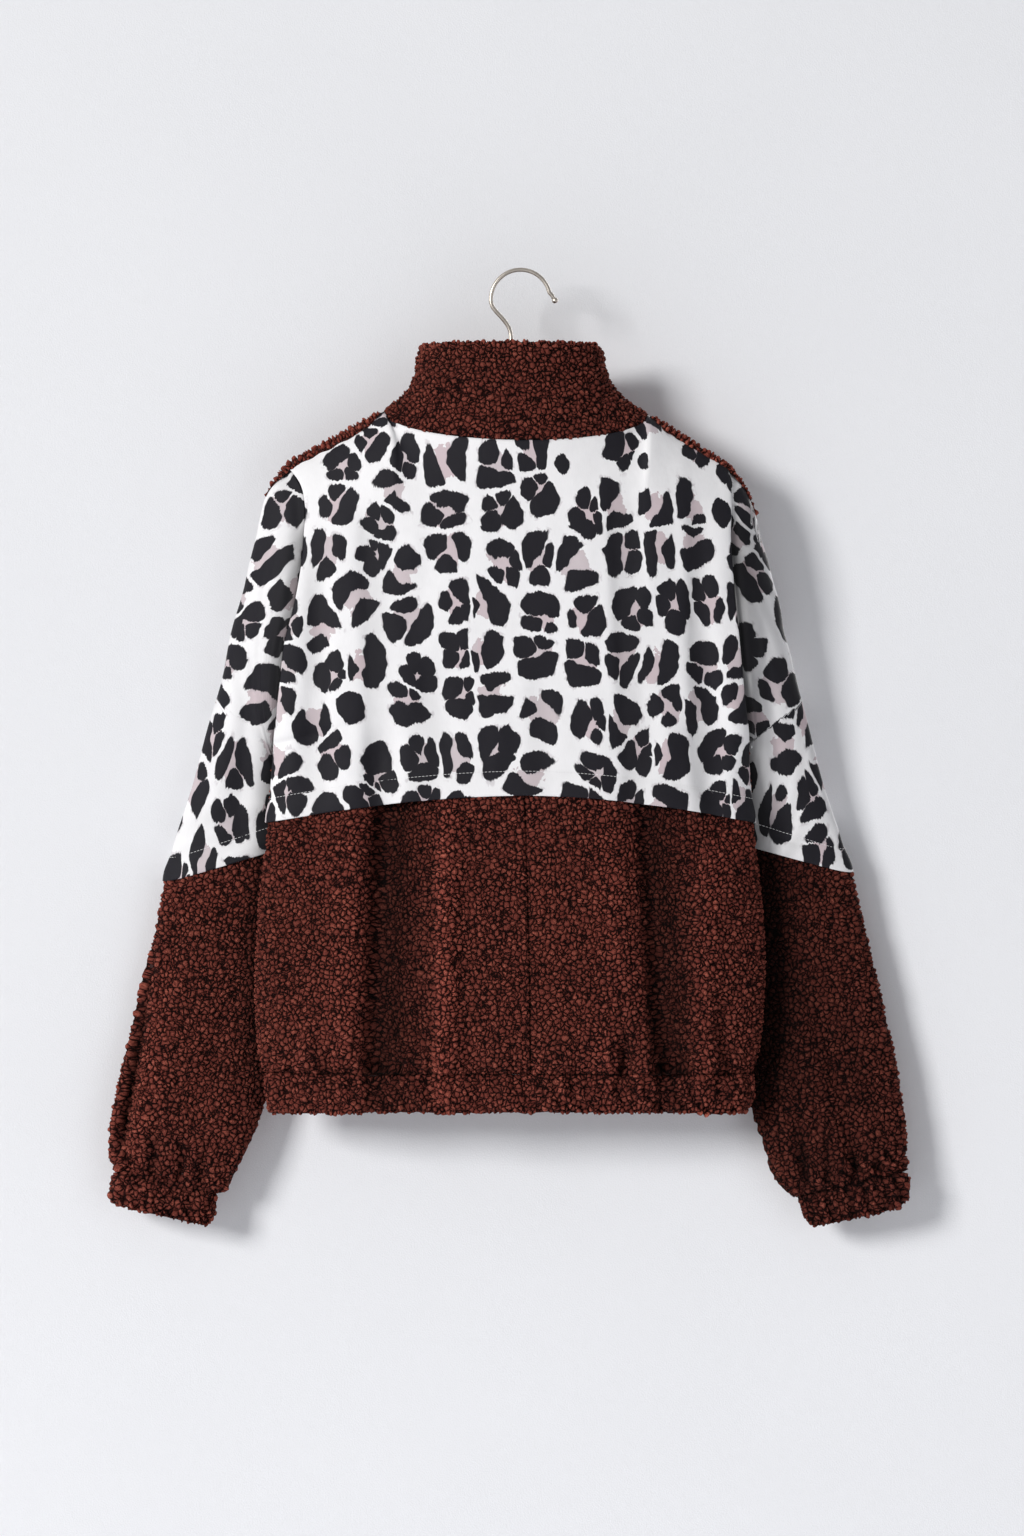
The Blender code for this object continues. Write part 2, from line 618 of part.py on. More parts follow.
def wall_faces(rows, columns, closed):
    """Quads of a wall: its outside, its inside and its rims."""
    count = rows * columns
    wide = columns if closed else columns - 1
    faces = []
    for r in range(rows - 1):
        for c in range(wide):
            a, d = r * columns + c, r * columns + (c + 1) % columns
            b, e = a + columns, d + columns
            faces.append((a, b, e, d))
            faces.append((a + count, d + count, e + count, b + count))
    for c in range(wide):
        a, d = c, (c + 1) % columns
        faces.append((a, d, d + count, a + count))
        b, e = a + (rows - 1) * columns, d + (rows - 1) * columns
        faces.append((b, b + count, e + count, e))
    if not closed:
        for r in range(rows - 1):
            a, b = r * columns, (r + 1) * columns
            faces.append((a, a + count, b + count, b))
            d, e = a + columns - 1, b + columns - 1
            faces.append((d, e, e + count, d + count))
    return faces


def to_metres(points):
    return (np.asarray(points, float).reshape(-1, 3) + (STEM_X, 0, 0)) * MM


def mesh_object(name, points, faces, material):
    """An object from points in the garment's millimetres, facing outwards, in triangles."""
    mesh = bpy.data.meshes.new(name)
    mesh.from_pydata([tuple(p) for p in to_metres(points)], [], faces)
    shape = bmesh.new()
    shape.from_mesh(mesh)
    bmesh.ops.triangulate(shape, faces=shape.faces, quad_method="FIXED")
    if shape.calc_volume(signed=True) < 0:
        bmesh.ops.reverse_faces(shape, faces=shape.faces)
    shape.to_mesh(mesh)
    shape.free()
    mesh.materials.append(material)
    mesh.shade_smooth()
    mesh.set_sharp_from_angle(angle=math.radians(50))
    made = bpy.data.objects.new(name, mesh)
    bpy.context.scene.collection.objects.link(made)
    return made


def build_cloth(panels):
    normals = shared_normals(panels)
    for one in panels:
        rows, columns = one.points.shape[:2]
        out = np.array([[normals[place_of(p)] for p in row] for row in one.points])
        base = seam_shrunk(one)
        if one.name == "collar":
            near_corner = np.exp(-((base[-1, :, 1] / CORNER_SPAN) ** 2))
            base[-1, :, 2] += COLLAR_LIFT + CORNER_LIFT * near_corner
        outside = base + out * one.outside[:, None, None]
        inside = base + out * one.inside[:, None, None]
        points = np.concatenate([outside.reshape(-1, 3), inside.reshape(-1, 3)])
        mesh_object(one.name, points, wall_faces(rows, columns, one.closed), one.material)


def tube_faces(rings, sides):
    faces = []
    for r in range(rings - 1):
        for s in range(sides):
            a, d = r * sides + s, r * sides + (s + 1) % sides
            faces.append((a, a + sides, d + sides, d))
    faces.append(tuple(range(sides)))
    faces.append(tuple(reversed(range((rings - 1) * sides, rings * sides))))
    return faces


def swept(name, path, profile, material):
    """A solid whose profile, pairs of width along X and depth across the path, follows a path."""
    path = np.asarray(path, float)
    along = unit(np.gradient(path, axis=0))
    across = np.array([1.0, 0.0, 0.0])
    rings = []
    for point, direction in zip(path, along):
        depth = np.cross(across, direction)
        rings.append([point + across * width + depth * thick for width, thick in profile])
    points = np.array(rings)
    return mesh_object(name, points, tube_faces(len(points), len(profile)), material)


def rectangle(half_width, half_depth, shift=0.0):
    return [
        (shift - half_width, -half_depth),
        (shift + half_width, -half_depth),
        (shift + half_width, half_depth),
        (shift - half_width, half_depth),
    ]


def zip_path():
    """The front's middle line from the collar's top to the band's end, sunk under the fleece."""
    rise = grid(collar, FRONT, LEFT, [0.0], COLLAR_ROWS[::-1])[:, 0]
    body = grid(torso, FRONT, LEFT, [0.0], armhole_rows() + [2.0] + list(LOWER_ROWS))[1:, 0]
    band = grid(torso, FRONT, LEFT, [0.0], BAND_ROWS)[:, 0]
    line = np.concatenate([rise, body, band])
    line[:, 0] = ZIP_X
    steps = np.cumsum(np.r_[0, np.linalg.norm(np.diff(line, axis=0), axis=1)])
    even = np.linspace(0, steps[-1], ZIP_STEPS)
    line = np.stack([np.interp(even, steps, line[:, i]) for i in range(3)], axis=1)
    along = unit(np.gradient(line, axis=0))
    return line + np.cross(along, [1.0, 0.0, 0.0]) * ZIP_SINK


def part_of_path(path, from_drop, to_drop):
    """The stretch of a falling path between two drops, with an end at each and no short step."""
    drops = -path[:, 2]
    inside = [d for d in drops if from_drop + SHORT_STEP < d < to_drop - SHORT_STEP]
    wanted = np.array([from_drop] + inside + [to_drop])
    return np.stack([np.interp(wanted, drops, path[:, i]) for i in range(3)], axis=1)


def build_zip(tape, steel):
    path = zip_path()
    top, end = ZIP_TOP_INSET - path[0, 2], -path[-1, 2] - ZIP_END_INSET
    shift = (CHAIN_HALF_WIDTH + SEAM_GAP + TAPE_HALF_WIDTH) / 2
    half = (TAPE_HALF_WIDTH - CHAIN_HALF_WIDTH - SEAM_GAP) / 2
    for hand, word in ((LEFT, "left"), (RIGHT, "right")):
        line = part_of_path(path, top, end)
        swept("zip_tape_" + word, line, rectangle(half, TAPE_THICKNESS / 2, hand * shift), tape)
    slider_end = SLIDER_DROP + SLIDER_LENGTH
    box_top = end - BOX_HEIGHT
    line = part_of_path(path, slider_end + SEAM_GAP, box_top - SEAM_GAP)
    swept("zip_chain", line, rectangle(CHAIN_HALF_WIDTH, CHAIN_THICKNESS / 2), steel)
    line = part_of_path(path, box_top, end)
    swept("zip_box", line, rectangle(CHAIN_HALF_WIDTH, BOX_THICKNESS / 2), steel)
    centre = part_of_path(path, SLIDER_DROP + SLIDER_LENGTH / 2, end)[0]
    build_slider(centre, steel)
    build_tab(centre, steel)


def box_object(name, centre, size, material, bevel):
    """A box with rounded edges, in the garment's millimetres."""
    shape = bmesh.new()
    bmesh.ops.create_cube(shape, size=1.0)
    for vertex in shape.verts:
        vertex.co = [vertex.co[i] * size[i] * MM for i in range(3)]
    bmesh.ops.bevel(shape, geom=shape.edges[:], offset=bevel * MM, segments=2, affect="EDGES")
    mesh = bpy.data.meshes.new(name)
    shape.to_mesh(mesh)
    shape.free()
    mesh.materials.append(material)
    made = bpy.data.objects.new(name, mesh)
    made.location = to_metres([centre])[0]
    bpy.context.scene.collection.objects.link(made)
    return made


def joined(target, other, operation):
    """Adds or takes away another solid, which is then only a helper."""
    change = target.modifiers.new(operation.lower() + "_" + other.name, "BOOLEAN")
    change.operation = operation
    change.solver = "EXACT"
    change.object = other
    other.hide_render = True
    other.display_type = "WIRE"


def build_slider(centre, steel):
    """The slider's body in front of the tapes, and the bridge that holds the tab."""
    face_y = SLIDER_THICKNESS / 2 + TAPE_THICKNESS / 2 + SEAM_GAP
    size = (SLIDER_WIDTH, SLIDER_THICKNESS, SLIDER_LENGTH)
    body = box_object("zip_slider", centre + (0, face_y, 0), size, steel, SLIDER_BEVEL)
    foot_y = face_y + SLIDER_THICKNESS / 2 - BRIDGE_ROOT
    rise = BRIDGE_RISE + BRIDGE_ROOT
    half = BRIDGE_LENGTH / 2 - BRIDGE_WIRE / 2
    turns = np.linspace(0, math.pi, 13)
    arch = [centre + (0, foot_y + rise * math.sin(a) ** 0.7, half * math.cos(a)) for a in turns]
    profile = rectangle(BRIDGE_WIDTH / 2, BRIDGE_WIRE / 2)
    joined(body, swept("slider_bridge_helper", arch, profile, steel), "UNION")


def tab_axis(centre):
    """The middle of the tab's top bar, between the slider's face and its bridge."""
    face_y = SLIDER_THICKNESS + TAPE_THICKNESS / 2 + SEAM_GAP
    return centre + (0, face_y + TAB_BAR_OUT, 0)


def build_tab(centre, steel):
    """The pull tab hangs from its bar, and its origin is on that bar."""
    axis = tab_axis(centre)
    name = "zip_pull_tab"
    round_radius = TAB_WIDTH / 2
    round_z = round_radius + TAB_BAR / 2 - TAB_LENGTH
    turns = [math.pi * i / TAB_TURN_STEPS for i in range(TAB_TURN_STEPS + 1)]
    outline = [(-round_radius, TAB_BAR / 2), (round_radius, TAB_BAR / 2)]
    outline += [(round_radius * math.cos(a), round_z - round_radius * math.sin(a)) for a in turns]
    mesh = bpy.data.meshes.new(name)
    half = TAB_THICKNESS / 2
    points = [(x * MM, -half * MM, z * MM) for x, z in outline]
    points += [(x * MM, half * MM, z * MM) for x, z in outline]
    count = len(outline)
    faces = [tuple(range(count)), tuple(reversed(range(count, 2 * count)))]
    faces += [(i, i + count, (i + 1) % count + count, (i + 1) % count) for i in range(count)]
    mesh.from_pydata(points, [], faces)
    shape = bmesh.new()
    shape.from_mesh(mesh)
    bmesh.ops.recalc_face_normals(shape, faces=shape.faces)
    shape.to_mesh(mesh)
    shape.free()
    mesh.materials.append(steel)
    tab = bpy.data.objects.new(name, mesh)
    tab.location = to_metres([axis])[0]
    bpy.context.scene.collection.objects.link(tab)
    eye_middle = -TAB_BAR / 2 - TAB_EYE_LENGTH / 2
    size = (TAB_EYE_WIDTH, TAB_THICKNESS * 3, TAB_EYE_LENGTH)
    eye = box_object("tab_eye_helper", axis + (0, 0, eye_middle), size, steel, 0.6)
    joined(tab, eye, "DIFFERENCE")


def shoulder_drop(reach):
    """The drop of the shoulder seams over a reach from the stem, and of an arch between them."""
    hand = LEFT if reach < 0 else RIGHT
    corner = abs(NECK_CENTRE + hand * NECK_REACH)
    tip = EDGES[0].left if hand == LEFT else EDGES[0].right
    slope = (TIP_DROP - NECK_DROP[hand]) / (tip - corner)
    along = abs(reach) - corner
    return NECK_DROP[hand] + slope * along


def hanger_drop(reach):
    """The top of the arms: along the shoulders, and an easy arch over the middle."""
    if abs(reach) >= ARCH_REACH:
        return shoulder_drop(reach) + ARM_CLEARANCE
    left, right = (shoulder_drop(hand * ARCH_REACH) + ARM_CLEARANCE for hand in (LEFT, RIGHT))
    share = (reach / ARCH_REACH + 1) / 2
    return left + (right - left) * share - ARCH_RISE * (1 - (reach / ARCH_REACH) ** 2)


def superellipse(sides, power):
    """A rounded outline one unit wide and tall."""
    turns = [2 * math.pi * (i + 0.5) / sides for i in range(sides)]
    waves = [(math.cos(turn), math.sin(turn)) for turn in turns]
    return [
        (math.copysign(abs(y) ** power, y) / 2, math.copysign(abs(z) ** power, z) / 2)
        for y, z in waves
    ]


def build_hanger(steel, beech):
    profile = superellipse(ARM_SIDES, 0.6)
    rings = []
    for step in range(-ARM_STEPS, ARM_STEPS + 1):
        reach = ARM_REACH * math.sin(math.pi / 2 * step / ARM_STEPS)
        narrowing = ARM_NARROWING * (reach / ARM_REACH) ** 2
        tall, thick = ARM_HEIGHT * (1 - narrowing), ARM_THICKNESS * (1 - narrowing / 3)
        middle = hanger_drop(reach) + tall / 2
        rings.append([(reach, thick * y, tall * z - middle) for y, z in profile])
    mesh_object("hanger_arms", np.array(rings), tube_faces(len(rings), ARM_SIDES), beech)

    foot = hanger_drop(0.0) - SEAM_GAP
    turns = [2 * math.pi * i / FERRULE_SIDES for i in range(FERRULE_SIDES)]
    rings = [
        [(row.radius * math.cos(a), row.radius * math.sin(a), row.rise - foot) for a in turns]
        for row in FERRULE
    ]
    mesh_object("hanger_ferrule", np.array(rings), tube_faces(len(rings), FERRULE_SIDES), steel)
    build_hook(steel, foot - FERRULE[-1].rise - SEAM_GAP)


def hook_path(end_drop):
    """The wire's middle line from the ball end, over the top and down to the ferrule."""
    middle_x, middle_drop = -STEM_X, HOOK_RADIUS - WIRE_RADIUS
    arc = []
    for angle in np.radians(np.linspace(*HOOK_ARC, HOOK_STEPS + 1)):
        across, up = HOOK_RADIUS * math.cos(angle), HOOK_RADIUS * math.sin(angle)
        arc.append(WirePoint(middle_x + across, middle_drop - up))
    return [*HOOK_END, *arc, *HOOK_STEM, WirePoint(0.0, end_drop)]


def build_hook(steel, end_drop):
    curve = bpy.data.curves.new("hanger_hook", "CURVE")
    curve.dimensions = "3D"
    curve.bevel_depth = WIRE_RADIUS * MM
    curve.bevel_resolution = 2
    curve.use_fill_caps = True
    line = hook_path(end_drop)
    reach, drop = line[0]
    ahead = unit(np.array([reach - line[1].reach, drop - line[1].drop]))
    ball = [(*(np.array([reach, drop]) + ahead * row.rise), row.radius / WIRE_RADIUS) for row in BALL]
    points = ball + [(*point, 1.0) for point in line]
    spline = curve.splines.new("POLY")
    spline.points.add(len(points) - 1)
    for place, (reach, drop, thickness) in zip(spline.points, points):
        place.co = (*to_metres([(reach, 0, -drop)])[0], 1.0)
        place.radius = thickness
    curve.materials.append(steel)
    made = bpy.data.objects.new("hanger_hook", curve)
    bpy.context.scene.collection.objects.link(made)


def material_of(name, colour, roughness, metallic=0.0):
    material = bpy.data.materials.new(name)
    material.use_nodes = True
    shader = material.node_tree.nodes["Principled BSDF"]
    shader.inputs["Base Color"].default_value = (*colour, 1.0)
    shader.inputs["Roughness"].default_value = roughness
    shader.inputs["Metallic"].default_value = metallic
    material.diffuse_color = (*colour, 1.0)
    return material


def main():
    for item in list(bpy.data.objects):
        bpy.data.objects.remove(item)
    fleece = material_of("pile_fleece", BROWN, 0.95)
    print_cloth = material_of("printed_woven", PRINT_GROUND, 0.75)
    tape = material_of("zip_tape", TAPE_BROWN, 0.85)
    steel = material_of("steel", STEEL, 0.3, 1.0)
    beech = material_of("beech", BEECH, 0.5)
    build_cloth(cloth_panels(fleece, print_cloth))
    build_zip(tape, steel)
    build_hanger(steel, beech)


main()
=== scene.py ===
"""Looks of a cropped pile-fleece jacket with an animal-print back yoke, on a plain hanger.

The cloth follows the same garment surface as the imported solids, at a finer step. Tables are in
millimetres: a drop is measured down from the origin and a reach sideways from the hook's stem.
"""

from __future__ import annotations

import json
import logging
import math
from collections.abc import Callable, Mapping, Sequence
from dataclasses import dataclass, field
from enum import IntEnum
from functools import cache
from typing import Any

import bmesh
import bpy
import numpy as np
from mathutils import Vector
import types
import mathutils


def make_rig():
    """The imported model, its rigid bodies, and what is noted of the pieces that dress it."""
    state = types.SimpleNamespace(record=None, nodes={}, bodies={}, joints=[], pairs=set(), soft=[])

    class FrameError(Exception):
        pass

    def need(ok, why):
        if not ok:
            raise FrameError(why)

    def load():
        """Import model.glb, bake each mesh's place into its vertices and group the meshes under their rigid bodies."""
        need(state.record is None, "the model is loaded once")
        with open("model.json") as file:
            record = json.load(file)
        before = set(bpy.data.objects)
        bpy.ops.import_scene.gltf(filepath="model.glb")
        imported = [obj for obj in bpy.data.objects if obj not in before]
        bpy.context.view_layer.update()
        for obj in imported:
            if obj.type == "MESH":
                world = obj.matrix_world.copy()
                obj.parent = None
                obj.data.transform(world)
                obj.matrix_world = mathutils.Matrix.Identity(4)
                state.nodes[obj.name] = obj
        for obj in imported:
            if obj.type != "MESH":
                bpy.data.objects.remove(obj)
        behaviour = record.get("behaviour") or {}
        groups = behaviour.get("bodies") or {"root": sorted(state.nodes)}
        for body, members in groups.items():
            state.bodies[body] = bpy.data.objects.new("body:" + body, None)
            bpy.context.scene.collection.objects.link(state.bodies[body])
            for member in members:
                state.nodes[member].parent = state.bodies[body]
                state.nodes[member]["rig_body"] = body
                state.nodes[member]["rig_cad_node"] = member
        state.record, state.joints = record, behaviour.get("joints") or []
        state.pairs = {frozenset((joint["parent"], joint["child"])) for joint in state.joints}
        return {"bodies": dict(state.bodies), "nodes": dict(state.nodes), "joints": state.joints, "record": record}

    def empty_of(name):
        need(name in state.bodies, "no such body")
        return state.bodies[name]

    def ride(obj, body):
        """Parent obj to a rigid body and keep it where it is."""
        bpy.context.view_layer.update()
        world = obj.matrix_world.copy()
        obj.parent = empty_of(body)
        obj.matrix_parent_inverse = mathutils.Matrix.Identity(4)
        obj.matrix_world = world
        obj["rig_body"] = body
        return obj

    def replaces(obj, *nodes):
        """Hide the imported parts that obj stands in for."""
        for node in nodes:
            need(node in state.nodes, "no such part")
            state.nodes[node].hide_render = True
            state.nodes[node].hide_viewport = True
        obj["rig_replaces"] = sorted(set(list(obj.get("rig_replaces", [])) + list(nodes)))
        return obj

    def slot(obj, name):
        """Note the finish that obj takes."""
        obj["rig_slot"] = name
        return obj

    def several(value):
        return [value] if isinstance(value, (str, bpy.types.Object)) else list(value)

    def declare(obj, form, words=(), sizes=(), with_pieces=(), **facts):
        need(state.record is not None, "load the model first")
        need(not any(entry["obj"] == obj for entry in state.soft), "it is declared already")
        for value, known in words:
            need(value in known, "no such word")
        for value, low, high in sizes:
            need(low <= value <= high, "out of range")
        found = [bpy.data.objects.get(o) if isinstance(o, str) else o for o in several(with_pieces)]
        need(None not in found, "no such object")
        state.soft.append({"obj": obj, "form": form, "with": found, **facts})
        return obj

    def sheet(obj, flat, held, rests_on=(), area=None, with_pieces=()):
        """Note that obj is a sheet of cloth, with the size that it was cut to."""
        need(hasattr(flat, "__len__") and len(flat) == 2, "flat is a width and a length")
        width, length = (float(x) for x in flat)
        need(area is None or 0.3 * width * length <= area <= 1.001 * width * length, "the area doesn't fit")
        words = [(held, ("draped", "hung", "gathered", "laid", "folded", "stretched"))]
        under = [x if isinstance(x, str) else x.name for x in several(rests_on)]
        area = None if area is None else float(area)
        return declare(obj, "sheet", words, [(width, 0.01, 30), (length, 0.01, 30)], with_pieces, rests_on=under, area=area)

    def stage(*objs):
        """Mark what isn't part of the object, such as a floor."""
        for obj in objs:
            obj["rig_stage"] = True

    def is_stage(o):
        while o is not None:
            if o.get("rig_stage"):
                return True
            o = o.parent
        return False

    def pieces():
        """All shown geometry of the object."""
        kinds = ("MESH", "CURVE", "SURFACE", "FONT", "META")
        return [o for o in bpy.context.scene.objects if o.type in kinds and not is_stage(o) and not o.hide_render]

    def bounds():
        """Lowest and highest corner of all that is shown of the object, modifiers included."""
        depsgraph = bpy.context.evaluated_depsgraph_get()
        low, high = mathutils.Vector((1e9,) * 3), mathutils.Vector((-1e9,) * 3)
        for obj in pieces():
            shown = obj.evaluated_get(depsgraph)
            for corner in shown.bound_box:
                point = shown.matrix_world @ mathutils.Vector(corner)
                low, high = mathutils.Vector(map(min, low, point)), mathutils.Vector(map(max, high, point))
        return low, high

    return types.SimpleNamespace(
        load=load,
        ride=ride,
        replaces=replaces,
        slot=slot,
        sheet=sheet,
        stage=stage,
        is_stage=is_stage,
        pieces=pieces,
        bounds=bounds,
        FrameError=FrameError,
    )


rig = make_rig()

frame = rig.load()
CAD_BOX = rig.bounds()

log = logging.getLogger("jacket")

MM = 0.001
STEM_X = -8.6
Array = np.ndarray
Colour = tuple[float, float, float]


class Face(IntEnum):
    """The side of the garment: its value is the sign of the depth."""

    BACK = -1
    FRONT = 1


class Hand(IntEnum):
    """The half of the garment as the viewer sees it: its value is the sign of the reach."""

    LEFT = -1
    RIGHT = 1

    @property
    def word(self) -> str:
        """The hand's word in node names."""
        return self.name.lower()


BACK, FRONT = Face
LEFT, RIGHT = Hand


def table(width: int, *numbers: float) -> Any:
    """A dataclass field that holds a table of numbers, in rows of a width."""
    return field(default_factory=lambda: np.array(numbers, float).reshape(-1, width))


def per(kind: Any, *values: float) -> Any:
    """A dataclass field that holds one value for each member of an Enum."""
    return field(default_factory=lambda: dict(zip(kind, values)))


def each(kind: Any, *rows: tuple[float, ...]) -> tuple[Any, ...]:
    """One object of a kind for each row of its values."""
    return tuple(kind(*row) for row in rows)


# ---------------------------------------------------------------- curves and small helpers


def smooth_curve(at: Array, places: Sequence[float], values: Sequence[float]) -> Array:
    """A cubic through a table's points, flat beyond its ends.

    Args:
        at: where the curve is read.
        places: the table's rising places.
        values: the table's values at those places.

    Returns:
        The curve's value at each point of at.
    """
    xs, ys = np.asarray(places, float), np.asarray(values, float)
    slopes = np.gradient(ys, xs)
    at = np.clip(np.asarray(at, float), xs[0], xs[-1])
    i = np.clip(np.searchsorted(xs, at, side="right") - 1, 0, len(xs) - 2)
    span = xs[i + 1] - xs[i]
    s = (at - xs[i]) / span
    rise = s * s * (3 - 2 * s)
    leave = s * (1 - s) ** 2 * span * slopes[i]
    arrive = s * s * (1 - s) * span * slopes[i + 1]
    return ys[i] * (1 - rise) + ys[i + 1] * rise + leave - arrive


def eased(share: Array | float) -> Array:
    """A soft step from 0 to 1."""
    share = np.clip(share, 0, 1)
    return share * share * (3 - 2 * share)


def unit(vectors: Array) -> Array:
    """The vectors at length one."""
    size = np.linalg.norm(vectors, axis=-1, keepdims=True)
    return vectors / np.maximum(size, 1e-9)


def to_metres(points: Array) -> Array:
    """Garment millimetres, measured from the stem, as rows of frame metres."""
    return (np.asarray(points, float).reshape(-1, 3) + (STEM_X, 0, 0)) * MM


def spread(*values: Any) -> list[Array]:
    """The values as float arrays of one shape."""
    return list(np.broadcast_arrays(*(np.asarray(value, float) for value in values)))


def run_along(line: Array) -> Array:
    """Each point's distance from the first, along a line of points."""
    return np.r_[0, np.cumsum(np.linalg.norm(np.diff(line, axis=0), axis=1))]


def read_line(at: Array, places: Array, line: Array, curve: Any = smooth_curve) -> Array:
    """A line of points read at some places, as a smooth curve or by another rule."""
    return np.stack([curve(at, places, line[:, i]) for i in range(line.shape[1])], axis=1)


def even_steps(
    line: Callable[[Array], Array], low: float, high: float, step: float, times: int = 1
) -> Array:
    """Parameters at which a line's points are an even step apart.

    Args:
        line: gives points for an array of parameters.
        low: the first parameter.
        high: the last parameter.
        step: the wished distance in millimetres.
        times: the number of steps is a multiple of this.

    Returns:
        The parameters, from low to high.
    """
    fine = np.linspace(low, high, 1200)
    run = run_along(line(fine))
    count = max(times, int(round(run[-1] / step / times)) * times)
    return np.interp(np.linspace(0, run[-1], count + 1), run, fine)


def with_fine_end(params: Array) -> Array:
    """Adds two closer rows at the end, where the cloth rolls over its edge."""
    gap = params[-1] - params[-2]
    return np.array([*params[:-1], params[-1] - gap * 0.45, params[-1] - gap * 0.12, params[-1]])


def waves(at: Array, seed: int, length: float, count: int = 5) -> Array:
    """A smooth wandering line between about -1 and 1, made of a few sine waves."""
    source = np.random.default_rng(seed)
    total = np.zeros_like(np.asarray(at, float))
    for _ in range(count):
        own = length * source.uniform(0.6, 1.7)
        total += np.sin(2 * math.pi * at / own + source.uniform(0, 2 * math.pi))
    return total / math.sqrt(count * 1.3)


def bell(distance: Array, width: float) -> Array:
    """1 at no distance, falling softly to 0 over about twice the width."""
    return np.exp(-((distance / width) ** 2))


def quads(rows: int, columns: int, closed: bool, first: int = 0, flip: bool = False) -> list[Any]:
    """The faces of a grid of points that are numbered row by row.

    Args:
        rows: rows of points.
        columns: points in a row.
        closed: whether each row joins its own start.
        first: the number of the first point.
        flip: whether the faces look the other way.

    Returns:
        Four point numbers for each face.
    """
    r = np.arange(rows - 1)[:, None]
    c = np.arange(columns if closed else columns - 1)[None, :]
    a, d = first + r * columns + c, first + r * columns + (c + 1) % columns
    order = (a, d, d + columns, a + columns) if flip else (a, a + columns, d + columns, d)
    return [tuple(q) for q in np.stack(order, -1).reshape(-1, 4).tolist()]


def new_object(name: str, data: Any) -> bpy.types.Object:
    """An object with its data, linked to the scene."""
    made = bpy.data.objects.new(name, data)
    bpy.context.scene.collection.objects.link(made)
    return made


def new_mesh(name: str, points: Array, edges: Sequence[Any], faces: Sequence[Any]) -> bpy.types.Mesh:
    """A mesh from points in garment millimetres."""
    mesh = bpy.data.meshes.new(name)
    mesh.from_pydata(to_metres(points).tolist(), edges, faces)
    return mesh


def finished(mesh: bpy.types.Mesh, shape: Any, angle: float | None = None) -> bpy.types.Object:
    """An object whose mesh takes a bmesh's form, with sharp edges from an angle in degrees."""
    shape.to_mesh(mesh)
    shape.free()
    mesh.shade_smooth()
    if angle is not None:
        mesh.set_sharp_from_angle(angle=math.radians(angle))
    return new_object(mesh.name, mesh)


def solid(name: str, points: Array, faces: Sequence[Any], angle: float = 40) -> bpy.types.Object:
    """A closed solid from points and faces, which are turned outwards."""
    mesh = new_mesh(name, points, [], faces)
    shape = bmesh.new()
    shape.from_mesh(mesh)
    bmesh.ops.recalc_face_normals(shape, faces=shape.faces)
    return finished(mesh, shape, angle)


def lofted(name: str, rings: Array) -> bpy.types.Object:
    """A closed solid through rings of points, with flat ends."""
    rings = np.asarray(rings)
    count, sides = rings.shape[:2]
    ends = [tuple(range(sides)), tuple(reversed(range((count - 1) * sides, count * sides)))]
    return solid(name, rings, quads(count, sides, True) + ends)


# ---------------------------------------------------------------- the garment's surfaces


@dataclass(frozen=True)
class Fold:
    """A soft fold of the torso: positive depth is a trough, negative a ridge."""

    face: Face
    top_reach: float
    top_drop: float
    foot_reach: float
    foot_drop: float
    half_width: float
    depth: float


@dataclass(frozen=True)
class SleeveFold:
    """A soft fold along a sleeve, from ring to ring, at a share of the width from outside."""

    hand: Hand
    face: Face
    first: float
    last: float
    share: float
    half_width: float
    depth: float


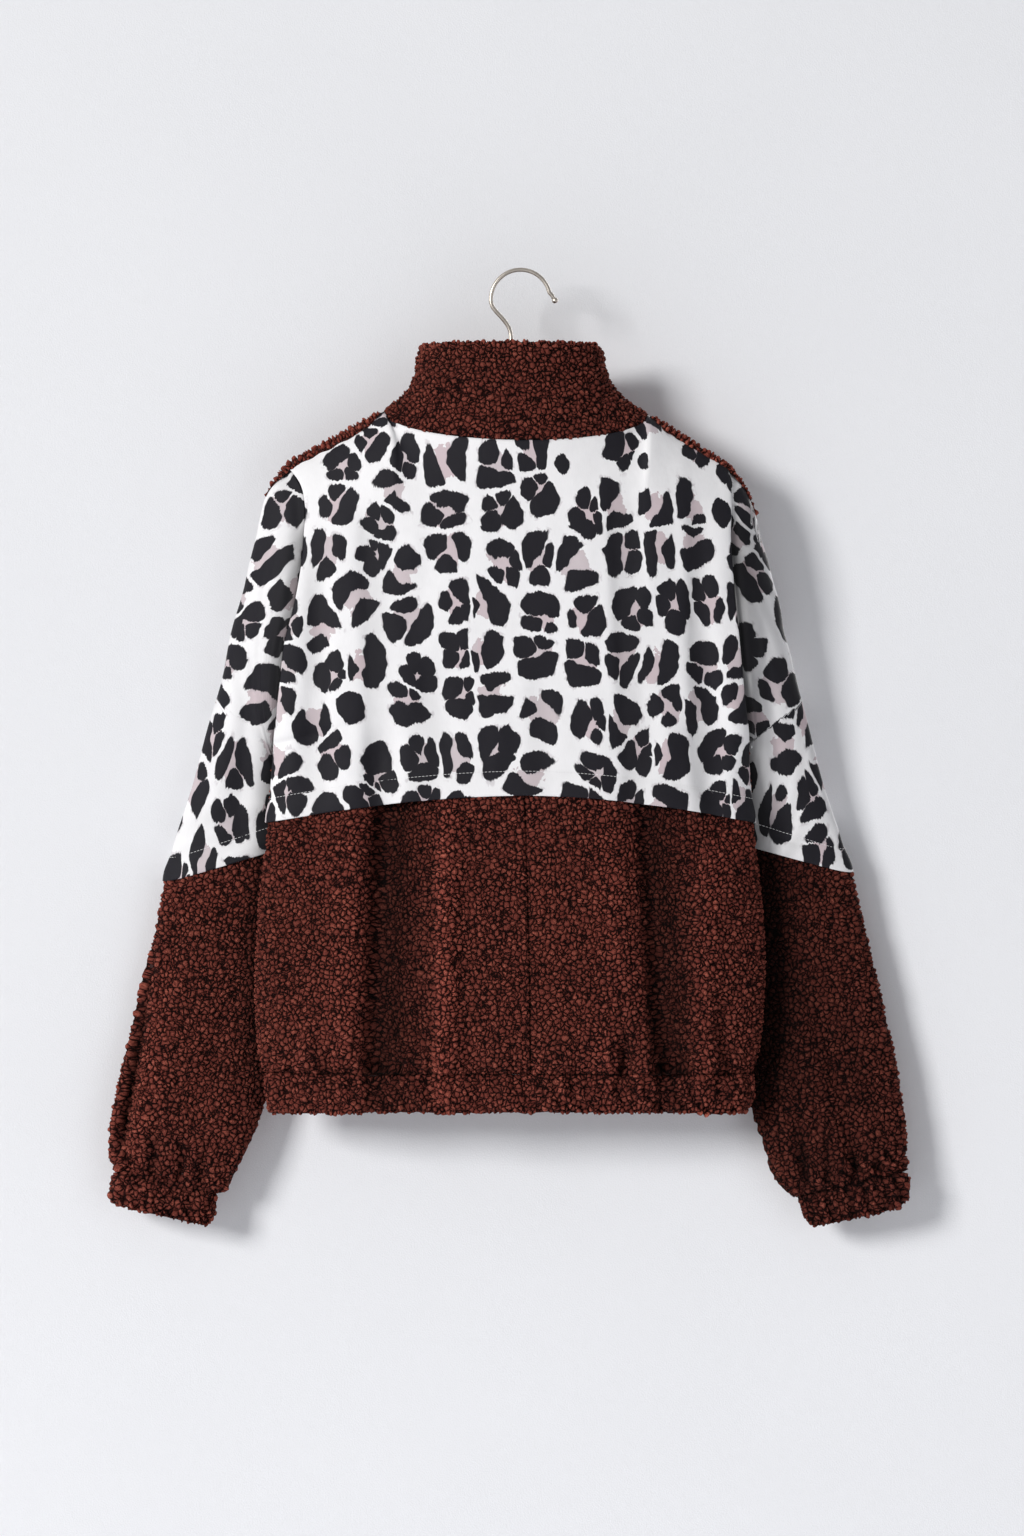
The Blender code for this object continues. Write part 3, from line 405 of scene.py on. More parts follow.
@dataclass(frozen=True)
class TorsoShape:
    """The body's surface: sizes and tables in millimetres."""

    neck_centre: float = 4.4
    neck_reach: float = 118.9
    neck_share: float = 0.56
    neck_drops: Mapping[Hand, float] = per(Hand, 126.5, 130)
    neck_scoops: Mapping[Face, float] = per(Face, 27, 45)
    neck_depths: Mapping[Face, float] = per(Face, 46, 42)
    tip_drop: float = 175.5
    shoulder_round: float = 80.0
    underarm_drop: float = 427.0
    armhole_depth: float = 24.0
    hem_drop: float = 473.5
    hem_fall: float = 25.0
    hem_power: float = 1.8
    waist_drop: float = 724.0
    band_end_drop: float = 761.0
    band_rise: float = 3.0
    dome_power: float = 2.2
    closing_drop: float = 300.0
    zip_x: float = 4.0
    zip_half_gap: float = 7.5
    # drop, left edge, right edge
    edges: Array = table(
        3, 175.5, 203, 195, 190, 191.5, 198, 210, 186, 199, 240, 187, 197.5, 275, 190.5, 200,
        305, 196, 203, 335, 204, 206, 380, 209, 210.5, 427, 215, 214.5, 460, 217, 216.5,
        499, 219.5, 218.5, 530, 223, 221.5, 565, 226.5, 225.5, 606, 229.5, 228.5, 649, 231.5, 228.5,
        682, 230, 226, 706, 227, 222.5, 724, 222.5, 218.5, 740, 222.5, 218.5, 752, 219.5, 215,
        761, 214.5, 210,
    )
    # drop, depth of the back, depth of the front
    depths: Array = table(
        3, 120, 46, 42, 200, 46, 37, 300, 44, 31, 400, 42, 28, 500, 42, 26, 600, 44, 27, 680, 46, 29,
        708, 43.5, 28, 724, 37.5, 24.5, 740, 39, 26, 761, 34.5, 22.5,
    )
    # drop, reach of the centre-back seam
    back_seam: Array = table(
        2, 120, 4.5, 480, 11.7, 560, 14.5, 650, 17, 761, 17.4,
    )
    folds: tuple[Fold, ...] = each(
        Fold, (BACK, -113, 400, -132, 740, 15, 7.5), (BACK, -64, 520, -71, 740, 17, -3.5),
        (BACK, 106, 440, 137, 740, 15, 6), (BACK, 97, 672, 99, 740, 8, 3.5),
        (BACK, 166, 560, 164, 740, 18, -3.5), (BACK, -168, 660, -160, 740, 9, 3),
        (BACK, -172, 250, -182, 520, 15, 5), (BACK, 178, 270, 182, 520, 14, 5),
        (FRONT, -92, 430, -120, 740, 16, 5), (FRONT, 84, 470, 116, 740, 16, 5.5),
        (FRONT, -50, 600, -56, 740, 14, -2.5), (FRONT, 52, 640, 50, 740, 10, 3),
    )
    fold_fade: float = 45.0
    # length, phase and height of the elastic's gathers
    gathers: tuple[tuple[float, float, float], ...] = ((43, 0.4, 1.5), (71, 1.9, 1.2))
    gather_spread: float = 24.0

    def edge_drop(self, down: Array) -> Array:
        """The drop of the side edge: 0 shoulder tip, 1 underarm, 2 hem, 3 waist, 4 end."""
        in_armhole = (1 - np.cos(np.pi * np.clip(down, 0, 1))) / 2
        hem_edge = self.hem_drop + self.hem_fall
        return (
            self.tip_drop
            + (self.underarm_drop - self.tip_drop) * in_armhole
            + (hem_edge - self.underarm_drop) * np.clip(down - 1, 0, 1)
            + (self.waist_drop - hem_edge) * np.clip(down - 2, 0, 1)
            + (self.band_end_drop - self.waist_drop) * np.clip(down - 3, 0, 1)
        )

    def scoop(self, across: Array) -> Array:
        """1 at the middle of the neck and 0 from its corner out, as an ellipse in plan."""
        return np.sqrt(np.clip(1 - (across / self.neck_share) ** 2, 0, 1))

    def along_top(self, across: Array) -> tuple[Array, Array]:
        """How much of the neck, and then of the shoulder, lies before a place: 0 to 1 each."""
        on_shoulder = (across - self.neck_share) / (1 - self.neck_share)
        return np.clip(across / self.neck_share, 0, 1), np.clip(on_shoulder, 0, 1)

    def top_drop(self, face: Face, hand: Hand, across: Array) -> Array:
        """The drop of the top edge: the neck seam, then the shoulder line."""
        corner, other = self.neck_drops[hand], self.neck_drops[Hand(-hand)]
        in_neck, on_shoulder = self.along_top(across)
        neck = (corner + other) / 2 + (corner - other) / 2 * in_neck
        neck += self.neck_scoops[face] * self.scoop(across)
        return neck + (self.tip_drop - corner) * on_shoulder

    def folds_at(self, face: Face, reach: Array, drop: Array) -> Array:
        """How far the folds and gathers push the cloth in at each point."""
        depth = np.zeros_like(reach)
        for fold in self.folds:
            if fold.face != face:
                continue
            span = fold.foot_drop - fold.top_drop
            share = np.clip((drop - fold.top_drop) / span, 0, 1)
            middle = fold.top_reach + (fold.foot_reach - fold.top_reach) * share
            window = eased((drop - fold.top_drop) / self.fold_fade)
            window *= eased((fold.foot_drop - drop) / (self.fold_fade / 2))
            depth += fold.depth * window * bell(reach - middle, fold.half_width)
        for length, phase, height in self.gathers:
            window = bell(drop - self.waist_drop, self.gather_spread)
            depth += height * window * np.sin(2 * math.pi * reach / length + phase + face)
        return depth

    def points(self, face: Face, hand: Hand, across: Array, down: Array) -> Array:
        """Points of the body.

        Args:
            face: back or front.
            hand: left or right half.
            across: 0 at the middle to 1 at the side edge.
            down: as in edge_drop.

        Returns:
            Reach, depth and height in millimetres, on the last axis.
        """
        across, down = spread(across, down)
        side = self.edge_drop(down)
        hem_edge = self.hem_drop + self.hem_fall
        share = np.clip((side - self.tip_drop) / (hem_edge - self.tip_drop), 0, 1)
        top = self.top_drop(face, hand, across)
        power = self.hem_power if face == BACK else 0
        hem = self.hem_drop + self.hem_fall * across**power
        drop = top + (hem - top) * share + (self.waist_drop - hem) * np.clip(down - 2, 0, 1)
        rise = self.band_rise * (1 - across**2) if face == BACK else 0
        drop += (self.band_end_drop - rise - self.waist_drop) * np.clip(down - 3, 0, 1)

        column = 1 if hand == LEFT else 2
        edge = hand * smooth_curve(side, self.edges[:, 0], self.edges[:, column])
        if face == BACK:
            middle = smooth_curve(side, self.back_seam[:, 0], self.back_seam[:, 1])
        else:
            middle = np.full_like(edge, self.zip_x + hand * self.zip_half_gap)
        reach = middle + (edge - middle) * across
        corner = self.neck_centre + hand * self.neck_reach
        tip = hand * self.edges[0, column]
        in_neck, on_shoulder = self.along_top(across)
        at_top = middle + (corner - middle) * in_neck + (tip - corner) * on_shoulder
        straight = middle + (tip - middle) * across
        reach += (at_top - straight) * (1 - share) ** 2

        depth_column = 1 if face == BACK else 2
        full = smooth_curve(drop, self.depths[:, 0], self.depths[:, depth_column])
        closing = eased((side - self.closing_drop) / (self.underarm_drop - self.closing_drop))
        dome = np.clip(1 - across**self.dome_power, 0, 1) ** (0.85 - 0.35 * closing)
        open_depth = self.armhole_depth * np.sin(np.pi * np.clip(down, 0, 1))
        depth = open_depth + (full - open_depth) * dome
        start = self.neck_depths[face] * self.scoop(across)
        below = np.clip((drop - top) / self.shoulder_round, 0, 1)
        by_neck = eased(2 * self.scoop(across))
        rounded = np.sqrt(1 - (1 - below) ** 2) * (1 - by_neck)
        rounded += np.sin(np.pi / 2 * below) * by_neck
        rounded += (1 - rounded) * across**12
        depth = start + (depth - start) * rounded
        depth -= self.folds_at(face, reach, drop) * np.clip(dome * 2, 0, 1)
        return np.stack([reach, face * depth, -drop], axis=-1)


@dataclass(frozen=True)
class CollarShape:
    """The stand collar's surface, from the neck seam up."""

    torso: TorsoShape
    top_drops: Mapping[Face, float] = per(Face, 66, 88)
    top_depths: Mapping[Face, float] = per(Face, 42, 38)
    lean: float = -3.0
    # share of the height, half width to the left, half width to the right
    sections: Array = table(
        3, 0, 118.9, 118.9, 0.18, 103, 101.5, 0.38, 92, 88.5, 0.62, 85.5, 81, 0.85, 82.5, 78.5,
        1, 79, 75,
    )

    def points(self, face: Face, hand: Hand, across: Array, up: Array) -> Array:
        """Points of the collar.

        Args:
            face: back or front.
            hand: left or right half.
            across: 0 at its middle to 1 at its side.
            up: 0 at the seam to 1 at the top edge.

        Returns:
            Reach, depth and height in millimetres, on the last axis.
        """
        across, up = spread(across, up)
        body = self.torso
        along = across * body.neck_share
        seam = body.points(face, hand, along, np.zeros_like(along))
        column = 1 if hand == LEFT else 2
        half = smooth_curve(up, self.sections[:, 0], self.sections[:, column])
        middle = body.neck_centre
        if face == FRONT:
            middle = body.zip_x + hand * body.zip_half_gap
        reach = middle + (seam[..., 0] - middle) * half / body.neck_reach + self.lean * up * across
        low, high = body.neck_depths[face], self.top_depths[face]
        depth = low + (high - low) * up
        crest = self.top_drops[BACK]
        crest += (self.top_drops[face] - crest) * body.scoop(along)
        drop = -seam[..., 2] + (crest + seam[..., 2]) * up
        return np.stack([reach, face * depth * body.scoop(along), -drop], axis=-1)


@dataclass(frozen=True)
class SleeveShape:
    """Both sleeves' surfaces, from the armhole to the cuff's end."""

    torso: TorsoShape
    armhole_fade: float = 4.0
    hem: int = 9
    lap: int = 8
    cuff_seam: int = 18
    # outer reach, outer drop, inner reach, inner drop, depth behind the back, half depth
    left: Array = table(
        6, 203, 175.5, 215, 427, 0, 24, 222, 205, 216, 433, 5, 24, 233, 250, 216, 439, 10, 24,
        247, 303, 214, 446, 16, 23, 260.5, 358, 209, 455, 22, 22, 276, 410, 200, 466, 28, 21,
        291.5, 470, 187, 480, 33, 20, 303.5, 520, 175, 492, 35, 19, 309, 543, 166, 503, 36, 18.5,
        310.5, 553, 162, 508, 36, 18.5, 313, 568, 161, 530, 36, 18.5, 319, 600, 163, 565, 36, 18.5,
        330, 640, 170, 605, 36, 19, 341, 688, 184, 650, 35, 19, 352, 735, 203, 697, 34, 19,
        359.5, 773, 219, 740, 32, 19, 360, 797, 233, 780, 30, 19, 356.5, 810, 249, 812, 28, 17,
        353, 817, 264, 836, 26, 12.5, 357, 832, 266, 852, 26, 14, 355, 846, 271, 866, 26, 13,
    )
    right: Array = table(
        6, 195, 175.5, 214.5, 427, 0, 24, 214, 202, 216, 433, 5, 24, 227, 242, 216, 439, 10, 24,
        240.5, 292, 214, 446, 16, 23, 254.5, 350, 209, 455, 22, 22, 269, 408, 200, 466, 28, 21,
        285, 470, 187, 480, 33, 20, 297.5, 515, 175, 490, 35, 19, 303, 535.5, 166, 500, 36, 18.5,
        305, 545, 162, 505, 36, 18.5, 308.5, 562, 161, 528, 36, 18.5, 316.5, 597, 163, 563, 36, 18.5,
        327.5, 640, 170, 605, 36, 19, 339, 690, 184, 650, 35, 19, 347.5, 735, 200, 697, 34, 19,
        353, 773, 214, 740, 32, 19, 354.5, 797, 227, 780, 30, 19, 354, 810, 240, 817, 28, 17,
        353.5, 816, 257, 839, 26, 12.5, 354.5, 832, 262, 853, 26, 14, 352, 848, 269, 867, 26, 13,
    )
    folds: tuple[SleeveFold, ...] = each(
        SleeveFold, (LEFT, BACK, 10.5, 18, 0.12, 0.07, 4), (LEFT, BACK, 12, 18, 0.55, 0.1, 3),
        (LEFT, BACK, 2, 8, 0.45, 0.12, 3), (RIGHT, BACK, 12, 18, 0.4, 0.1, 3),
        (RIGHT, BACK, 2, 8, 0.42, 0.12, 3), (LEFT, FRONT, 10, 18, 0.35, 0.1, 3),
        (RIGHT, FRONT, 10, 18, 0.45, 0.1, 3),
    )

    def points(self, hand: Hand, ring: Array, angle: Array) -> Array:
        """Points of a sleeve.

        Args:
            hand: left or right.
            ring: the row of the table, with parts of a row between.
            angle: 0 outside, pi inside, by way of the back, up to 2 pi.

        Returns:
            Reach, depth and height in millimetres, on the last axis.
        """
        ring, angle = spread(ring, angle)
        rows = self.left if hand == LEFT else self.right
        places = np.arange(len(rows), dtype=float)
        outer_x, outer_z, inner_x, inner_z, behind, half_depth = (
            smooth_curve(ring, places, rows[:, i]) for i in range(6)
        )
        out = (1 + np.cos(angle)) / 2
        reach = hand * (inner_x + (outer_x - inner_x) * out)
        drop = inner_z + (outer_z - inner_z) * out
        depth = behind - half_depth * np.sin(angle)
        at_back = angle <= np.pi
        down = np.where(at_back, angle, 2 * np.pi - angle) / np.pi
        edge = np.ones_like(down)
        seam = np.where(
            at_back[..., None],
            self.torso.points(BACK, hand, edge, down),
            self.torso.points(FRONT, hand, edge, down),
        )
        plain = hand * (rows[0, 2] + (rows[0, 0] - rows[0, 2]) * out)
        fade = np.clip(1 - ring / self.armhole_fade, 0, 1) ** 2
        reach += (seam[..., 0] - plain) * fade
        face_of = np.where(at_back, int(BACK), int(FRONT))
        for fold in self.folds:
            if fold.hand != hand:
                continue
            window = eased(ring - fold.first) * eased((fold.last - ring) / 0.6)
            hollow = bell(1 - out - fold.share, fold.half_width)
            hollow = fold.depth * window * hollow
            depth -= np.where(face_of == fold.face, fold.face * hollow, 0)
        return np.stack([reach, depth, -drop], axis=-1)


# ---------------------------------------------------------------- node trees


class Bench:
    """Adds nodes to one tree and links them, for shaders and for geometry alike."""

    def __init__(self, tree: bpy.types.NodeTree) -> None:
        """Keeps the tree."""
        self.tree = tree

    def node(self, kind: str, inputs: Mapping[Any, Any] | None = None, **settings: Any) -> Any:
        """Adds a node.

        Args:
            kind: the node's type name.
            inputs: values or sockets by input name or number.
            settings: properties of the node itself.

        Returns:
            The new node.
        """
        made = self.tree.nodes.new(kind)
        for name, value in settings.items():
            setattr(made, name, value)
        for name, value in (inputs or {}).items():
            self.put(made.inputs[name], value)
        return made

    def put(self, socket: Any, value: Any) -> None:
        """Links a socket to an input, or sets the input's own value."""
        if isinstance(value, bpy.types.NodeSocket):
            self.tree.links.new(value, socket)
        else:
            socket.default_value = value

    def math(self, operation: str, *values: Any) -> Any:
        """The result of a Math node."""
        return self.node("ShaderNodeMath", dict(enumerate(values)), operation=operation).outputs[0]

    def above(self, value: Any, limit: Any) -> Any:
        """1 where a value is over a limit, and else 0."""
        return self.math("GREATER_THAN", value, limit)

    def split(self, vector: Any) -> list[Any]:
        """A vector's three numbers."""
        return list(self.node("ShaderNodeSeparateXYZ", {0: vector}).outputs)

    def join(self, *numbers: Any) -> Any:
        """A vector of two or three numbers."""
        return self.node("ShaderNodeCombineXYZ", dict(enumerate(numbers))).outputs[0]

    def dice(self, at: Any) -> Any:
        """Three chance numbers for each place."""
        return self.node("ShaderNodeTexWhiteNoise", {"Vector": at}).outputs["Color"]

    def times(self, first: Any, second: Any) -> Any:
        """The product of two values."""
        return self.math("MULTIPLY", first, second)

    def plus(self, first: Any, second: Any) -> Any:
        """The sum of two values."""
        return self.math("ADD", first, second)

    def minus(self, first: Any, second: Any) -> Any:
        """The first value less the second."""
        return self.math("SUBTRACT", first, second)

    def scaled(self, value: Any, factor: Any, shift: Any) -> Any:
        """A value times a factor, plus a shift."""
        return self.math("MULTIPLY_ADD", value, factor, shift)

    def vector(self, operation: str, first: Any, second: Any = None) -> Any:
        """The first result of a Vector Math node."""
        inputs = {0: first} if second is None else {0: first, "Scale" if operation == "SCALE" else 1: second}
        made = self.node("ShaderNodeVectorMath", inputs, operation=operation)
        return made.outputs["Value" if operation == "LENGTH" else "Vector"]

    def step(self, value: Any, low: Any, high: Any, to: tuple[float, float] = (0, 1)) -> Any:
        """A soft step from one value to another."""
        inputs = {"Value": value, 1: low, 2: high, 3: to[0], 4: to[1]}
        return self.node("ShaderNodeMapRange", inputs, interpolation_type="SMOOTHSTEP").outputs[0]

    def blend(self, factor: Any, first: Any, second: Any) -> Any:
        """A mix of two colours, by a factor from 0 to 1."""
        inputs = {0: factor, 6: as_colour(first), 7: as_colour(second)}
        return self.node("ShaderNodeMix", inputs, data_type="RGBA").outputs[2]

    def noise(self, at: Any, scale: Any, detail: float = 1, output: int = 0) -> Any:
        """A noise value around 0.5, or its three-channel colour for output 1."""
        inputs = {"Vector": at, "Scale": scale, "Detail": detail}
        return self.node("ShaderNodeTexNoise", inputs).outputs[output]

    def wander(self, at: Any, scale: Any, reach: Any, detail: float = 1) -> Any:
        """A place moved about by noise, up to about half of reach each way."""
        drift = self.vector("SUBTRACT", self.noise(at, scale, detail, 1), (0.5, 0.5, 0.5))
        return self.vector("ADD", at, self.vector("SCALE", drift, reach))

    def cells(self, at: Any, feature: str, random: float = 1) -> Any:
        """A Voronoi node."""
        inputs = {"Vector": at, "Scale": 1, "Randomness": random}
        return self.node("ShaderNodeTexVoronoi", inputs, feature=feature)

    def named(self, name: str, kind: str) -> Any:
        """A point attribute in a geometry tree."""
        inputs = {"Name": name}
        return self.node("GeometryNodeInputNamedAttribute", inputs, data_type=kind).outputs[0]

    def attribute(self, name: str, output: str) -> Any:
        """A point attribute in a shader tree."""
        return self.node("ShaderNodeAttribute", attribute_name=name).outputs[output]

    def object_place(self) -> Any:
        """The object's own coordinates in a shader tree."""
        return self.node("ShaderNodeTexCoord").outputs["Object"]

    def grouped(self, group: Any, place: Any) -> Any:
        """A shader group's node, fed with a place."""
        made = self.node("ShaderNodeGroup", node_tree=group)
        self.put(made.inputs["Place"], place)
        return made

    def feed(self, shader: Any, values: Mapping[str, Any]) -> None:
        """Links or sets some of a shader's inputs by name."""
        for name, value in values.items():
            self.put(shader.inputs[name], value)

    def link(self, source: Any, target: Any) -> None:
        """Links two sockets."""
        self.tree.links.new(source, target)


def as_colour(value: Any) -> Any:
    """Three numbers as a colour with alpha; anything else as it is."""
    if isinstance(value, tuple) and len(value) == 3:
        return (*value, 1)
    return value


def new_group(kind: str, name: str, inputs: Sequence[tuple[str, str, Any]],
              outputs: Sequence[tuple[str, str]]) -> tuple[Any, Bench, Any, Any]:
    """A node group with named sockets.

    Args:
        kind: ShaderNodeTree or GeometryNodeTree.
        name: the group's name.
        inputs: name, socket type and default of each input.
        outputs: name and socket type of each output.

    Returns:
        The group, a bench on it, and its input and output nodes.
    """
    group = bpy.data.node_groups.new(name, kind)
    for label, socket, default in inputs:
        made = group.interface.new_socket(name=label, in_out="INPUT", socket_type=socket)
        if default is not None:
            made.default_value = default
    for label, socket in outputs:
        group.interface.new_socket(name=label, in_out="OUTPUT", socket_type=socket)
    bench = Bench(group)
    return group, bench, bench.node("NodeGroupInput"), bench.node("NodeGroupOutput")


def curl_height(bench: Bench, place: Any, size: Any, wander: Any) -> tuple[Any, Any]:
    """The pile's curls over a place: the same nodes shape the mesh and shade it.

    Args:
        bench: the bench of a shader or a geometry tree.
        place: the cloth's own coordinates in metres.
        size: the width of a curl in metres.
        wander: how far the curls' outlines stray, in curls.

    Returns:
        The height, from 0 in a crevice to 1 on a curl, and a value that differs by curl.
    """
    scaled = bench.vector("SCALE", place, bench.math("DIVIDE", 1, size))
    moved = bench.wander(bench.wander(scaled, 0.75, wander, 2), 2.4, 0.40)
    edge = bench.cells(moved, "DISTANCE_TO_EDGE").outputs["Distance"]
    centre = bench.cells(moved, "F1")
    dome = bench.step(edge, 0, 0.22)
    cap = bench.step(centre.outputs["Distance"], 0.80, 0.05, (0.66, 1))
    own, _, _ = bench.split(centre.outputs["Color"])
    return bench.times(bench.times(dome, cap), bench.scaled(own, 0.22, 0.78)), own


# ---------------------------------------------------------------- finishes


class Finish:
    """A finish makes one material and keeps it."""

    title: str = "finish"

    def material(self) -> bpy.types.Material:
        """The finish's material, built on first use."""
        found = bpy.data.materials.get(self.title)
        if found is None:
            found = bpy.data.materials.new(self.title)
            found.use_nodes = True
            bench = Bench(found.node_tree)
            shader = found.node_tree.nodes["Principled BSDF"]
            self.dress(bench, shader)
        return found

    def dress(self, bench: Bench, shader: Any) -> None:
        """Builds the material's nodes."""
        raise NotImplementedError

    @staticmethod
    def bump(bench: Bench, shader: Any, height: Any, distance: float, strength: float) -> None:
        """Feeds a height into the shader's normal."""
        made = bench.node("ShaderNodeBump", {"Height": height, "Distance": distance, "Strength": strength})
        bench.link(made.outputs[0], shader.inputs["Normal"])


@dataclass(frozen=True)
class PileFleece(Finish):
    """Dark brown curly pile fleece."""

    title: str = "pile_fleece_finish"
    # crevice is painted shade between the curls; tip is a painted highlight on the curl tops
    crevice: Colour = (0.006, 0.0011, 0.0009)
    body: Colour = (0.142, 0.0312, 0.0225)
    tip: Colour = (0.42, 0.120, 0.080)
    curl: float = 0.0045
    wander: float = 1.05

    def dress(self, bench: Bench, shader: Any) -> None:
        """Crevices in painted shade, curls with a painted highlight on their tips, and fine wool over each curl."""
        rest = bench.attribute("cloth_rest", "Vector")
        height, own = curl_height(bench, rest, self.curl, self.wander)
        patch = bench.noise(rest, 22, 2)
        depth = bench.noise(rest, 130, 2)
        strand = bench.noise(rest, 1300, 2)
        # the painted crevice shade reaches further up the curls in some places than in others
        top = bench.step(depth, 0.28, 0.70, (0.16, 0.76))
        open_ = bench.step(height, 0, top)
        body = bench.blend(open_, self.crevice, self.body)
        # painted highlight: the pale tip colour on the tops of the curls, varied by curl and by strand
        lit = bench.times(bench.step(height, 0.40, 1), bench.step(own, 0, 0.9, (0.35, 1)))
        lit = bench.times(lit, bench.step(strand, 0.30, 0.75))
        colour = bench.blend(bench.times(lit, 0.82), body, self.tip)
        # brightness that varies at random by patch and strand, times the painted shade and light stored on each piece
        shade = bench.scaled(patch, 0.36, bench.times(strand, 0.9))
        tone = bench.attribute("cloth_tone", "Fac")
        shade = bench.times(bench.plus(shade, 0.31), bench.plus(tone, 1))
        colour = bench.vector("SCALE", colour, shade)
        bench.feed(shader, {
            "Base Color": colour, "Roughness": 0.95, "Specular IOR Level": 0.10,
            "Sheen Weight": 0.02, "Sheen Roughness": 0.45, "Sheen Tint": (0.80, 0.32, 0.22, 1),
        })
        fine = bench.scaled(strand, 0.40, height)
        self.bump(bench, shader, fine, 0.0020, 0.9)


@dataclass(frozen=True)
class KnitBacking(Finish):
    """The fleece's plain knitted back, seen inside the jacket."""

    title: str = "knit_backing_finish"
    colour: Colour = (0.036, 0.011, 0.009)

    def dress(self, bench: Bench, shader: Any) -> None:
        """Fine rows of loops."""
        rest = bench.attribute("cloth_rest", "Vector")
        moved = bench.wander(rest, 90, 0.0008)
        loops = bench.node(
            "ShaderNodeTexWave", {"Vector": moved, "Scale": 260, "Distortion": 0.6},
            wave_type="BANDS", bands_direction="DIAGONAL",
        ).outputs[1]
        tone = bench.scaled(loops, 0.5, 0.72)
        bench.feed(shader, {"Base Color": bench.vector("SCALE", self.colour, tone), "Roughness": 0.9})
        self.bump(bench, shader, loops, 0.0004, 0.6)


@dataclass(frozen=True)
class PrintedWoven(Finish):
    """White woven cloth with a black and mauve animal print."""

    title: str = "printed_woven_finish"
    white: Colour = (0.86, 0.85, 0.86)
    ink: Colour = (0.0115, 0.0105, 0.0150)
    mauve: Colour = (0.60, 0.495, 0.52)
    grey: Colour = (0.58, 0.54, 0.555)
    fringe: Colour = (0.45, 0.40, 0.43)

    def dress(self, bench: Bench, shader: Any) -> None:
        """The print over a fine plain weave."""
        uv = bench.node("ShaderNodeUVMap", uv_map="cloth").outputs[0]
        made = bench.grouped(print_group(self), uv)
        weave = bench.grouped(weave_group(), uv)
        tone = bench.scaled(weave.outputs["Height"], 0.10, 0.95)
        # painted shade in the folds, beside the body and along the seams, from the pieces' tone
        folded = bench.attribute("cloth_tone", "Fac")
        tone = bench.times(tone, bench.plus(folded, 1))
        colour = bench.vector("SCALE", made.outputs["Color"], tone)
        rough = bench.scaled(made.outputs["Ink"], -0.10, 0.78)
        bench.feed(shader, {"Base Color": colour, "Roughness": rough, "Specular IOR Level": 0.22})
        crumple = bench.noise(bench.vector("SCALE", uv, 1), 26, 3)
        height = bench.scaled(crumple, 4, bench.times(weave.outputs["Height"], 0.10))
        self.bump(bench, shader, height, 0.0008, 0.55)


@dataclass(frozen=True)
class ZipTape(Finish):
    """Dark brown woven zip tape."""

    title: str = "zip_tape_finish"
    colour: Colour = (0.030, 0.011, 0.009)

    def dress(self, bench: Bench, shader: Any) -> None:
        """Herringbone-like ribs along the tape."""
        place = bench.object_place()
        x, _, z = bench.split(bench.vector("MULTIPLY", place, (0.5, 0, 0.5)))
        weave = bench.grouped(weave_group(), bench.join(x, z))
        tone = bench.scaled(weave.outputs["Height"], 0.6, 0.65)
        bench.feed(shader, {"Base Color": bench.vector("SCALE", self.colour, tone), "Roughness": 0.8})
        self.bump(bench, shader, weave.outputs["Height"], 0.0004, 0.7)


@dataclass(frozen=True)
class Thread(Finish):
    """Sewing thread."""

    title: str = "thread_white"
    colour: Colour = (0.80, 0.79, 0.80)

    def dress(self, bench: Bench, shader: Any) -> None:
        """A fine twist along the thread."""
        place = bench.object_place()
        twist = bench.noise(place, 2600, 1)
        tone = bench.scaled(twist, 0.5, 0.75)
        bench.feed(shader, {"Base Color": bench.vector("SCALE", self.colour, tone), "Roughness": 0.6})


@dataclass(frozen=True)
class BrushedNickel(Finish):
    """Satin nickel-plated steel."""

    title: str = "brushed_nickel"
    colour: Colour = (0.66, 0.60, 0.53)
    roughness: float = 0.30

    def dress(self, bench: Bench, shader: Any) -> None:
        """Fine scratches, and a duller bloom in patches."""
        place = bench.object_place()
        stretched = bench.vector("MULTIPLY", place, (1, 1, 0.12))
        scratch = bench.noise(stretched, 5200, 2)
        bloom = bench.noise(place, 160, 3)
        tone = bench.scaled(bloom, 0.35, 0.80)
        colour = bench.vector("SCALE", self.colour, tone)
        rough = bench.scaled(bloom, 0.12, bench.scaled(scratch, 0.20, self.roughness - 0.08))
        bench.feed(shader, {"Base Color": colour, "Metallic": 1, "Roughness": rough})
        self.bump(bench, shader, scratch, 0.00006, 0.5)


@dataclass(frozen=True)
class Beech(Finish):
    """Clear-lacquered beech."""

    title: str = "lacquered_beech"
    pale: Colour = (0.58, 0.39, 0.22)
    dark: Colour = (0.36, 0.20, 0.10)

    def dress(self, bench: Bench, shader: Any) -> None:
        """Long grain with short dark flecks."""
        place = bench.object_place()
        long = bench.vector("MULTIPLY", place, (0.10, 1, 1))
        grain = bench.noise(bench.wander(long, 30, 0.02), 260, 4)
        fleck = bench.noise(bench.vector("MULTIPLY", place, (0.3, 1, 1)), 1500, 2)
        wood = bench.blend(bench.step(grain, 0.35, 0.68), self.dark, self.pale)
        wood = bench.blend(bench.step(fleck, 0.62, 0.72, (0, 0.45)), wood, self.dark)
        bench.feed(shader, {"Base Color": wood, "Roughness": 0.38, "Coat Weight": 0.25})
        self.bump(bench, shader, bench.plus(grain, fleck), 0.0003, 0.35)


